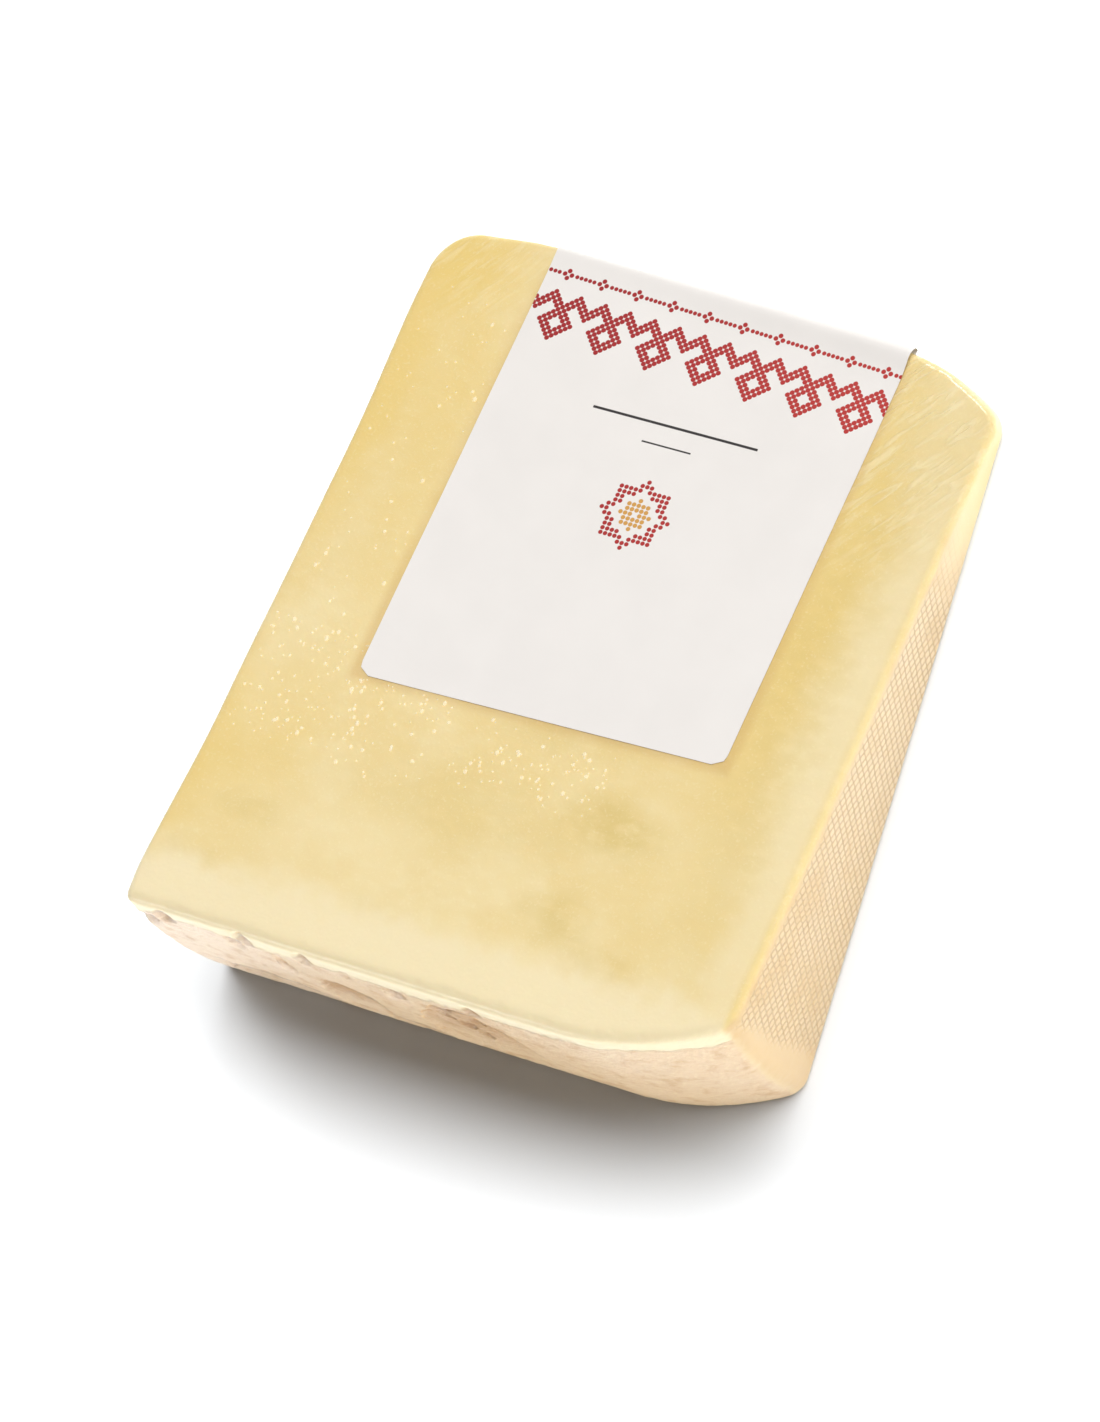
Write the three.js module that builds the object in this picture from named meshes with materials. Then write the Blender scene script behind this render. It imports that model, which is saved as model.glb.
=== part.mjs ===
// A wedge of pecorino romano, cut as a thin sector from half a wheel, with a folded paper label
// over its thin edge. Millimetres, +Z up. The wedge lies on one cut face: X runs along the wheel's
// axis, from the flat cut on the left to the wheel's flat end, and +Y points at the thin edge.
import * as THREE from 'three';

// The wheel and the cut
const WHEEL_RADIUS = 162;        // from the wheel's axis to its rind
const CUT_ANGLE = 17.8;          // degrees between the two cut faces
const WIDTH = 131;               // along the wheel's axis
const WIDTH_GAIN = 1;            // how much further left the flat cut stands at the rind
const THIN_EDGE = 2.4;           // thickness left at the thin edge, before it is rounded
const EDGE_ROUND = 1.7;          // the cut faces' edges
const FRONT_RIND_ROUND = 2.4;    // the worn edge between the front cut face and the rind
const THIN_EDGE_ROUND = 0.8;     // where the two cut faces would meet
const MOST_ROUND = 0.45;         // of the wedge's thickness, the most that any edge's rounding takes
const NOSE_LENGTH = 1.8;         // how far the round of the thin edge runs down the cut faces
const NOSE_CLEAR = 0.6;          // how far off the cut faces the points round it start
const THIN_CORNER_ROUND = 9;     // corner between the thin edge and the flat cut
const RIND_CORNER_ROUND = 2;     // corner between the rind and the flat cut
const END_CORNER_ROUND = 3;      // both corners of the wheel's flat end

// The wheel's shoulder: the rind falls away towards the flat end, and so does the thin edge
const SHOULDER_LENGTH = 35;
const SHOULDER_DROP = 11;
const THIN_DROP_LENGTH = 28;
const THIN_DROP = 9;

// The cuts aren't quite straight: the thin edge swells out near its left end and slants back from
// there, the flat cut is bowed in, and the wheel's flat end leans in towards the floor
const THIN_SWELL = 1.7;
const THIN_SWELL_START = 2;
const THIN_SWELL_END = 26;
const THIN_SLANT = 0.031;
const LEFT_BOW = 1.3;
const BOW_UPPER = [20, 60];      // from the wheel's axis, where the bow sets in
const BOW_LOWER = [152, 112];    // and where it ends
const END_LEAN = 1.9;
const LEAN_HEIGHTS = [40, -10];  // no lean at the first height, all of it at the second

// The label: one sheet folded over the thin edge, with an equal flap on each cut face
const LABEL_WIDTH = 81.1;
const LABEL_DROP = 93.4;         // from the thin edge down each cut face
const LABEL_SLANT = 1.1;         // the free ends hang this much lower on the left, higher on the right
const LABEL_LEFT = 25.6;         // from the flat cut to the label
const LABEL_SHEET = 0.3;
const LABEL_GAP = 0.35;          // between the sheet and the cheese
const LABEL_CORNER = 2.5;
const LABEL_LIFT = 0.5;          // how far the front flap's free end stands off
const LIFT_LENGTH = 14;          // how much of the front flap the lift bends
const FOLD_BULGE = [0.3, 1.6];   // how far the loose fold stands off, at its left and right ends
const FOLD_LENGTH = 9;           // how far down the front flap that goes
const FOLD_HEIGHTS = [1, 1.6];   // above the floor, where it sets in and where all of it is reached
const FLOOR_CLEARANCE = 0.25;    // under the rear flap
const BED_EDGE = 3;              // how far the bed that the rear flap presses runs past the flap
const BED_RAMP = 5;              // the slope round that bed

// How fine the meshes are: steps along the width, down the cut faces and through the thickness
const CHEESE_STEPS = [50, 28, 15];
const CHEESE_CROWDING = [0.35, 0.78, 0.2];
const LABEL_STEPS_ACROSS = 16;
const FLAP_STEPS = 12;
const FOLD_STEPS = 8;

// Pits and chips in the rind. `along` is measured from the flat cut and `round` from the front cut
// face round the rind. Each is `wide` by `tall` at its rim and `deep` at its middle.
const rindPits = [
  { along: 2, round: 10, wide: 6, tall: 8, deep: 1.6 },
  { along: 7, round: 5.5, wide: 5, tall: 6, deep: 1.8 },
  { along: 22, round: 8.5, wide: 5, tall: 7, deep: 1.4 },
  { along: 25.5, round: 4.5, wide: 4.5, tall: 7, deep: 1.6 },
  { along: 31.5, round: 14, wide: 4, tall: 12, deep: 1.4 },
  { along: 39, round: 5, wide: 5, tall: 7, deep: 1.3 },
  { along: 58, round: 9, wide: 5, tall: 6, deep: 1.4 },
  { along: 67.5, round: 11.5, wide: 5.5, tall: 6, deep: 1.7 },
  { along: 66, round: 17, wide: 4, tall: 6, deep: 1.3 },
  { along: 69.5, round: 21, wide: 4, tall: 6, deep: 1.3 },
  { along: 73.5, round: 16.5, wide: 3.5, tall: 4, deep: 0.8 },
  { along: 72, round: 25, wide: 4, tall: 6, deep: 1.2 },
  { along: 76.5, round: 6, wide: 5, tall: 7, deep: 1.1 },
  { along: 8.5, round: 34, wide: 5, tall: 10, deep: 1.3 },
];
const PIT_REACH = 6;             // how far in from the rind a pit's wear can reach

// Scars where a flake of rind has lifted off: steep at the upper rim, fading out at the lower one
const flakeScars = [
  { along: 42.5, round: 27, wide: 14, tall: 24, deep: 0.9 },
  { along: 51, round: 41, wide: 13, tall: 17, deep: 0.8 },
  { along: 72, round: 27, wide: 25, tall: 38, deep: 0.8 },
  { along: 20, round: 40, wide: 26, tall: 22, deep: 0.8 },
];
const SCAR_RELIEF_STARTS = 9;    // how far in from the rind the scars begin, on the cut faces
const SCAR_RELIEF_FULL = 5;

const PRESSED_HEIGHT = 4;        // the lowest part, where the faces' unevenness fades out

const angle = THREE.MathUtils.degToRad(CUT_ANGLE);
const thinEdgeAt = THIN_EDGE / Math.tan(angle);  // from the wheel's axis
const bedDepth = LABEL_SHEET + LABEL_GAP + FLOOR_CLEARANCE;

// The larger of two distances, with the edge where they meet rounded to a radius
function roundMax(a, b, radius) {
  const beyond = Math.hypot(Math.max(a + radius, 0), Math.max(b + radius, 0));
  return Math.min(Math.max(a, b), -radius) + beyond;
}

// 0 before `low`, 1 past `high` and smooth between them; `low` may be the larger of the two
function smoothStep(low, high, value) {
  const share = THREE.MathUtils.clamp((value - low) / (high - low), 0, 1);
  return share * share * (3 - 2 * share);
}

// How far an outline has fallen in from its level, in a curve over the `length` next to the flat end
function fall(along, length, drop) {
  const beyond = Math.max(along - (WIDTH - length), 0);
  return drop * (beyond / length) ** 2;
}

// How far the thin edge and the rind are from the wheel's axis
function thinAt(along) {
  const swell = THIN_SWELL * smoothStep(THIN_SWELL_START, THIN_SWELL_END, along);
  const slant = THIN_SLANT * Math.max(along - THIN_SWELL_END, 0);
  return thinEdgeAt + fall(along, THIN_DROP_LENGTH, THIN_DROP) - swell + slant;
}

function rindAt(along) {
  return WHEEL_RADIUS - fall(along, SHOULDER_LENGTH, SHOULDER_DROP);
}

// How far the wheel's flat end is from the flat cut, at each height
function endAt(height) {
  return WIDTH - END_LEAN * smoothStep(...LEAN_HEIGHTS, height);
}

// Slow unevenness of all the faces but the rear one, which the wedge's weight has pressed flat
function unevenness(along, down, height) {
  const slow = 0.11 * Math.sin(along / 17 + 1.3) * Math.sin(down / 23 + 0.4);
  const quick = 0.07 * Math.sin(along / 7.3 + height / 5.1) * Math.sin(down / 9.7 + 2.1);
  return (slow + quick) * smoothStep(0, PRESSED_HEIGHT, height);
}

// How far out a place is in an oval, from 0 at its middle to 1 at its rim
function ovalReach(oval, along, round) {
  return Math.hypot((along - oval.along) / (oval.wide / 2), (round - oval.round) / (oval.tall / 2));
}

// How far the rind is worn in from its smooth shape
function wear(along, down, height) {
  const radial = Math.hypot(down, height);
  const inwards = WHEEL_RADIUS - radial;
  const round = (angle - Math.atan2(height, down)) * WHEEL_RADIUS;
  let depth = 0;
  for (const pit of rindPits) {
    const reach = Math.hypot(ovalReach(pit, along, round), inwards / PIT_REACH);
    if (reach < 1) depth += pit.deep * (1 - reach * reach) ** 1.5;
  }
  const onRind = smoothStep(SCAR_RELIEF_STARTS, SCAR_RELIEF_FULL, inwards);
  for (const scar of flakeScars) {
    const reach = ovalReach(scar, along, round);
    const lower = (round - scar.round) / (scar.tall / 2);
    depth += scar.deep * smoothStep(1.05, 0.88, reach) * smoothStep(1, -0.3, lower) * onRind;
  }
  return depth;
}

// How high the rear face stands off the floor, in the bed under the label's rear flap
function bedHeight(along, down) {
  const [left, right] = [LABEL_LEFT - BED_EDGE, LABEL_LEFT + LABEL_WIDTH + BED_EDGE];
  const end = thinEdgeAt + LABEL_DROP + LABEL_SLANT + BED_EDGE;
  return bedDepth
    * smoothStep(left - BED_RAMP, left, along)
    * smoothStep(right + BED_RAMP, right, along)
    * smoothStep(end + BED_RAMP, end, down);
}

// Distance from the cheese's surface, true enough close to it and below 0 inside. `along` is
// measured from the flat cut, `down` from the wheel's axis and `height` from the floor.
function cheeseDistance(along, down, height) {
  const rind = Math.hypot(down, height) - rindAt(along);
  const thin = thinAt(along) - down;
  const bow = smoothStep(...BOW_UPPER, down) * smoothStep(...BOW_LOWER, down);
  const flatCut = LEFT_BOW * bow - along - WIDTH_GAIN * (down / WHEEL_RADIUS);
  const flatEnd = along - endAt(height);
  const outline = along < WIDTH / 2
    ? roundMax(roundMax(flatCut, thin, THIN_CORNER_ROUND), rind, RIND_CORNER_ROUND)
    : roundMax(roundMax(flatEnd, thin, END_CORNER_ROUND), rind, END_CORNER_ROUND);
  const front = height * Math.cos(angle) - down * Math.sin(angle);
  const rear = bedHeight(along, down) - height;
  const cutFaces = roundMax(front, rear, THIN_EDGE_ROUND);
  const wornEdge = smoothStep(-3 * FRONT_RIND_ROUND, -FRONT_RIND_ROUND, rind)
    * smoothStep(-3 * FRONT_RIND_ROUND, -FRONT_RIND_ROUND, front);
  const edgeRound = THREE.MathUtils.lerp(EDGE_ROUND, FRONT_RIND_ROUND, wornEdge);
  const mostRound = MOST_ROUND * Math.max(down, 1) * Math.tan(angle);
  return roundMax(outline, cutFaces, Math.min(edgeRound, mostRound))
    + wear(along, down, height) + unevenness(along, down, height);
}

// Moves a point along the slope of the distance until it lies `level` off the cheese
function settle(start, level) {
  const point = [...start];
  const probe = 0.02;
  const rounds = 12;
  for (let round = 0; round < rounds; round += 1) {
    const slope = [0, 1, 2].map((axis) => {
      const [ahead, behind] = [[...point], [...point]];
      ahead[axis] += probe;
      behind[axis] -= probe;
      return (cheeseDistance(...ahead) - cheeseDistance(...behind)) / (2 * probe);
    });
    const steepness = slope.reduce((sum, part) => sum + part * part, 0);
    const move = (cheeseDistance(...point) - level) / steepness;
    for (let axis = 0; axis < 3; axis += 1) point[axis] -= move * slope[axis];
  }
  return point;
}

// 0 to 1 in steps drawn towards both ends by `crowding`, which is 0 for even steps
function crowded(steps, crowding) {
  return Array.from({ length: steps + 1 }, (_, index) => {
    const share = index / steps;
    return share - (crowding * Math.sin(2 * Math.PI * share)) / (2 * Math.PI);
  });
}

// From the wedge's own measures to the part's frame, with the thin edge towards +Y
function toFrame([along, down, height]) {
  return [along, -down, height];
}

// A closed skin over a box of lattice points: `place` turns three lattice numbers into a point.
// The second number runs down the wedge, towards -Y, which the order of the corners allows for.
function latticeSkin(counts, place) {
  const positions = [];
  const numbers = new Map();
  function vertex(lattice) {
    const key = lattice.join();
    if (!numbers.has(key)) {
      numbers.set(key, positions.length / 3);
      positions.push(...toFrame(place(lattice)));
    }
    return numbers.get(key);
  }
  const indices = [];
  for (let axis = 0; axis < 3; axis += 1) {
    const [next, last] = [(axis + 1) % 3, (axis + 2) % 3];
    for (const end of [0, counts[axis]]) {
      for (let i = 0; i < counts[next]; i += 1) {
        for (let j = 0; j < counts[last]; j += 1) {
          const corners = [[0, 0], [1, 0], [1, 1], [0, 1]].map(([di, dj]) => {
            const lattice = [0, 0, 0];
            lattice[axis] = end;
            lattice[next] = i + di;
            lattice[last] = j + dj;
            return vertex(lattice);
          });
          if (end > 0) corners.reverse();
          const [a, b, c, d] = corners;
          indices.push(a, b, c, a, c, d);
        }
      }
    }
  }
  const geometry = new THREE.BufferGeometry();
  geometry.setAttribute('position', new THREE.Float32BufferAttribute(positions, 3));
  geometry.setIndex(indices);
  geometry.computeVertexNormals();
  return geometry;
}

// A point off the thin edge, `turn` 0 at the rear face and 1 at the front face
function noseStart(along, turn) {
  const thickness = thinAt(along) * Math.tan(angle);
  const [rearNormal, frontNormal] = [1.5 * Math.PI, Math.PI / 2 + angle];
  const turned = rearNormal + turn * (frontNormal - rearNormal);
  return [along, thinAt(along) + NOSE_LENGTH * (1 + Math.cos(turned)),
    thickness / 2 + (thickness / 2 + NOSE_CLEAR) * Math.sin(turned)];
}

// The cheese: a lattice over the sharp wedge, settled on to the rounded and worn surface
function cheeseGeometry() {
  const [widths, drops, depths] = CHEESE_STEPS.map((steps, axis) => (
    crowded(steps, CHEESE_CROWDING[axis])
  ));
  return latticeSkin(CHEESE_STEPS, ([i, j, k]) => {
    const turn = angle * depths[k];
    const along = endAt(WHEEL_RADIUS * drops[j] * Math.sin(turn)) * widths[i];
    if (j === 0) return settle(noseStart(along, depths[k]), 0);
    const top = thinAt(along) + NOSE_LENGTH;
    const radial = top + (rindAt(along) - top) * drops[j];
    return settle([along, radial * Math.cos(turn), radial * Math.sin(turn)], 0);
  });
}

// How much a flap's rounded corners take off each side, `toEnd` away from its free end
function cornerCut(toEnd) {
  const inside = Math.max(LABEL_CORNER - toEnd, 0);
  return LABEL_CORNER - Math.sqrt(LABEL_CORNER ** 2 - inside ** 2);
}

// The label's path in steps: up the rear flap from its free end, round the fold, and down the
// front flap. `share` gives the way along a flap from the thin edge, and `turn` round the fold.
function labelPath() {
  const shares = crowded(FLAP_STEPS, 0.6);
  const rear = shares.map((share) => ({ side: 'rear', share })).reverse();
  const fold = Array.from({ length: FOLD_STEPS - 1 }, (_, index) => (
    { side: 'fold', turn: (index + 1) / FOLD_STEPS }
  ));
  const front = shares.map((share) => ({ side: 'front', share }));
  return [...rear, ...fold, ...front];
}

// A point of the label's middle before it settles, `across` 0 to 1 from its left edge
function labelPoint(step, across) {
  const drop = LABEL_DROP + LABEL_SLANT * (1 - 2 * across);
  const far = step.side === 'fold' ? 0 : step.share * drop;
  const cut = step.side === 'fold' ? 0 : cornerCut(drop - far);
  const along = LABEL_LEFT + cut + (LABEL_WIDTH - 2 * cut) * across;
  if (step.side === 'fold') return noseStart(along, step.turn);
  const [start, end] = [thinAt(along) + NOSE_LENGTH, thinEdgeAt + NOSE_LENGTH];
  if (step.side === 'rear') {
    return [along, THREE.MathUtils.lerp(start, end + drop, step.share), 0];
  }
  return [along, THREE.MathUtils.lerp(start, end + drop * Math.cos(angle), step.share),
    THREE.MathUtils.lerp(thinAt(along) * Math.tan(angle), THIN_EDGE + drop * Math.sin(angle), step.share)];
}

// How far the sheet stands off where its fold isn't tight. The rear flap stays flat on the cheese.
function foldBulge([along, down, height]) {
  const across = (along - LABEL_LEFT) / LABEL_WIDTH;
  const atFold = smoothStep(FOLD_LENGTH, -0.5, down - thinAt(along));
  return THREE.MathUtils.lerp(...FOLD_BULGE, across) * atFold ** 2 * smoothStep(...FOLD_HEIGHTS, height);
}

// The label: a thin sheet that follows the cheese, a gap away, and stands off at its front end
function labelGeometry() {
  const path = labelPath();
  const counts = [LABEL_STEPS_ACROSS, path.length - 1, 1];
  return latticeSkin(counts, ([i, j, k]) => {
    const step = path[j];
    const point = labelPoint(step, i / LABEL_STEPS_ACROSS);
    const toEnd = step.side === 'front' ? (1 - step.share) * LABEL_DROP : LIFT_LENGTH;
    const lift = LABEL_LIFT * smoothStep(LIFT_LENGTH, 0, toEnd);
    return settle(point, LABEL_GAP + lift + foldBulge(point) + LABEL_SHEET * k);
  });
}

function part(name, geometry, look) {
  const mesh = new THREE.Mesh(geometry, new THREE.MeshStandardMaterial(look));
  mesh.name = name;
  return mesh;
}

const wedge = new THREE.Group();
wedge.add(part('cheese', cheeseGeometry(), { color: 0xf3dfae, roughness: 0.5, metalness: 0 }));
wedge.add(part('label', labelGeometry(), { color: 0xf4f1ee, roughness: 0.6, metalness: 0 }));

// The origin is at the middle of the footprint, on the floor
const box = new THREE.Box3().setFromObject(wedge);
wedge.position.set(-(box.min.x + box.max.x) / 2, -(box.min.y + box.max.y) / 2, -box.min.z);

export default wedge;
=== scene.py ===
"""A wedge of pecorino romano in tight clear film, with a paper label folded over its thin edge.

The wedge has measures of its own, in millimetres. `along` runs from the flat cut on the left to the
wheel's flat end, `down` from the wheel's axis towards the rind, and `height` up from the floor. Points
are rows of those three numbers until they are placed in the part's frame, which is in metres.
"""

import itertools
import logging
import math
from dataclasses import dataclass
from enum import Enum

import bpy
import numpy as np
from mathutils import Matrix, Vector


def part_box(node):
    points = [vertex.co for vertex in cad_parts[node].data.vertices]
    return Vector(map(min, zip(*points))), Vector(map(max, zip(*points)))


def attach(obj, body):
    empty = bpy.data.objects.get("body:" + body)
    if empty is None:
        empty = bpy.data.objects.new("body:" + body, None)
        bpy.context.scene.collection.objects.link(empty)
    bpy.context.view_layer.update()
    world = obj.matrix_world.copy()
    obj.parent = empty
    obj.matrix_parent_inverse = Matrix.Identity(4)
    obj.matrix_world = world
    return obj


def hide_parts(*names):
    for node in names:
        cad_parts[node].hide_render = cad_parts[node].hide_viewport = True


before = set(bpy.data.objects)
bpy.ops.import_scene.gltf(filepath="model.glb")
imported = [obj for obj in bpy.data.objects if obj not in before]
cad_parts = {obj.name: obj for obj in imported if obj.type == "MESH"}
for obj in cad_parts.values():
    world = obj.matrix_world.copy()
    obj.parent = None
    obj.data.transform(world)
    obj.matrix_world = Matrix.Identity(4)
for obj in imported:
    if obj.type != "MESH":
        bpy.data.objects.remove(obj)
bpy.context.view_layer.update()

LOG = logging.getLogger("wedge")
METRES = 0.001
BODY = "root"


# ---------------------------------------------------------------- sums that the shapes share


def smooth_step(low: float, high: float, value: np.ndarray) -> np.ndarray:
    """Goes smoothly from 0 to 1.

    Args:
        low: where it leaves 0. It may be the larger of the two.
        high: where it reaches 1.
        value: the numbers to look at.

    Returns:
        A share from 0 to 1 for each number.
    """
    share = np.clip((value - low) / (high - low), 0.0, 1.0)
    return share * share * (3.0 - 2.0 * share)


def round_max(first: np.ndarray, second: np.ndarray, radius: float | np.ndarray) -> np.ndarray:
    """Takes the larger of two distances, with the edge where they meet rounded.

    Args:
        first: distances from one face.
        second: distances from the other face.
        radius: the radius of the rounding.

    Returns:
        The joined distances.
    """
    beyond = np.hypot(np.maximum(first + radius, 0.0), np.maximum(second + radius, 0.0))
    return np.minimum(np.maximum(first, second), -radius) + beyond


def cell_values(cells: np.ndarray, seed: int) -> np.ndarray:
    """Gives each whole-numbered cell of space a fixed value of its own.

    Args:
        cells: rows of three whole numbers.
        seed: picks one set of values.

    Returns:
        A value from -1 to 1 for each row.
    """
    primes = (73856093, 19349663, 83492791)
    mixed = np.full(cells.shape[0], seed * 668265263, dtype=np.int64)
    for axis, prime in enumerate(primes):
        mixed ^= cells[:, axis] * prime
    mixed = (mixed ^ (mixed >> 15)) * 2246822519
    mixed = (mixed ^ (mixed >> 13)) & 0xFFFFF
    return mixed / 0x7FFFF - 1.0


def bumps(points: np.ndarray, size: float, seed: int = 0) -> np.ndarray:
    """Makes smooth random bumps.

    Args:
        points: rows of three numbers.
        size: how far apart the bumps are.
        seed: picks one set of bumps.

    Returns:
        A height from -1 to 1 for each point.
    """
    scaled = points / size + 1000.0
    cell = np.floor(scaled).astype(np.int64)
    share = scaled - cell
    share = share * share * (3.0 - 2.0 * share)
    total = np.zeros(len(points))
    for corner in itertools.product((0, 1), repeat=3):
        weight = np.ones(len(points))
        for axis, far in enumerate(corner):
            weight = weight * (share[:, axis] if far else 1.0 - share[:, axis])
        total += weight * cell_values(cell + np.array(corner), seed)
    return total


def rough_bumps(points: np.ndarray, size: float, seed: int = 0, octaves: int = 3) -> np.ndarray:
    """Adds finer and finer bumps together.

    Args:
        points: rows of three numbers.
        size: how far apart the largest bumps are.
        seed: picks one set of bumps.
        octaves: how many sizes there are, each half the one before.

    Returns:
        A height of about -1 to 1 for each point.
    """
    total = np.zeros(len(points))
    for octave in range(octaves):
        total += bumps(points, size / 2**octave, seed + octave) / 2**octave
    return total / (2.0 - 2.0 ** (1 - octaves))


# ---------------------------------------------------------------- the form of the wedge


@dataclass(frozen=True)
class Oval:
    """A worn place in the rind. `round` is measured from the front cut face round the rind."""

    along: float
    round: float
    wide: float
    tall: float
    deep: float

    def reach(self, along: np.ndarray, round_: np.ndarray) -> np.ndarray:
        """Gives 0 at the middle and 1 at the rim."""
        return np.hypot((along - self.along) / (self.wide / 2), (round_ - self.round) / (self.tall / 2))


PITS = (
    Oval(2, 10, 6, 8, 1.6),
    Oval(7, 5.5, 5, 6, 1.8),
    Oval(22, 8.5, 5, 7, 1.4),
    Oval(25.5, 4.5, 4.5, 7, 1.6),
    Oval(31.5, 14, 4, 12, 1.4),
    Oval(39, 5, 5, 7, 1.3),
    Oval(58, 9, 5, 6, 1.4),
    Oval(67.5, 11.5, 5.5, 6, 1.7),
    Oval(66, 17, 4, 6, 1.3),
    Oval(69.5, 21, 4, 6, 1.3),
    Oval(73.5, 16.5, 3.5, 4, 0.8),
    Oval(72, 25, 4, 6, 1.2),
    Oval(76.5, 6, 5, 7, 1.1),
    Oval(8.5, 34, 5, 10, 1.3),
)

# Where flakes have broken off the rind.
SCARS = (
    Oval(42.5, 27, 14, 24, 0.9),
    Oval(51, 41, 13, 17, 0.8),
    Oval(72, 27, 25, 38, 0.8),
    Oval(20, 40, 26, 22, 0.8),
)


@dataclass(frozen=True)
class Patch:
    """A soft-edged patch of colour on the front cut face. `wide` and `tall` are its half sizes."""

    along: float
    radial: float
    wide: float
    tall: float
    strength: float

    def cover(self, along: np.ndarray, radial: np.ndarray) -> np.ndarray:
        """Gives how strongly the patch shows at each place."""
        reach = np.hypot((along - self.along) / self.wide, (radial - self.radial) / self.tall)
        return self.strength * smooth_step(1.25, 0.25, reach)


# Where the paste of the front cut face is golden, pale and smudged.
GOLDEN = (
    Patch(0, 42, 12, 56, 0.8),
    Patch(8, 14, 16, 14, 0.9),
    Patch(-1, 126, 8, 34, 0.6),
    Patch(110, 62, 13, 60, 0.75),
    Patch(114, 132, 18, 14, 0.2),
    Patch(20, 60, 10, 50, 0.35),
    Patch(70, 112, 60, 22, 0.1),
    Patch(12, 126, 14, 26, 0.5),
    Patch(13, 36, 12, 22, 0.4),
)

PALE = (
    Patch(16, 100, 14, 28, 0.25),
    Patch(124, 92, 9, 50, 0.85),
    Patch(62, 158, 82, 12, 0.85),
    Patch(30, 138, 26, 12, 0.4),
    Patch(121, 24, 10, 20, 0.35),
)

SMUDGES = (
    Patch(91, 120, 13, 8, 0.7),
    Patch(88, 140, 10, 6, 0.6),
    Patch(101, 147, 11, 5, 0.55),
    Patch(8, 151, 8, 5, 0.5),
    Patch(60, 124, 34, 12, 0.3),
    Patch(16, 137, 9, 5, 0.35),
    Patch(75, 104, 20, 5, 0.35),
    Patch(52, 149, 9, 4, 0.35),
    Patch(119, 78, 17, 80, 0.35),
)


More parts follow.
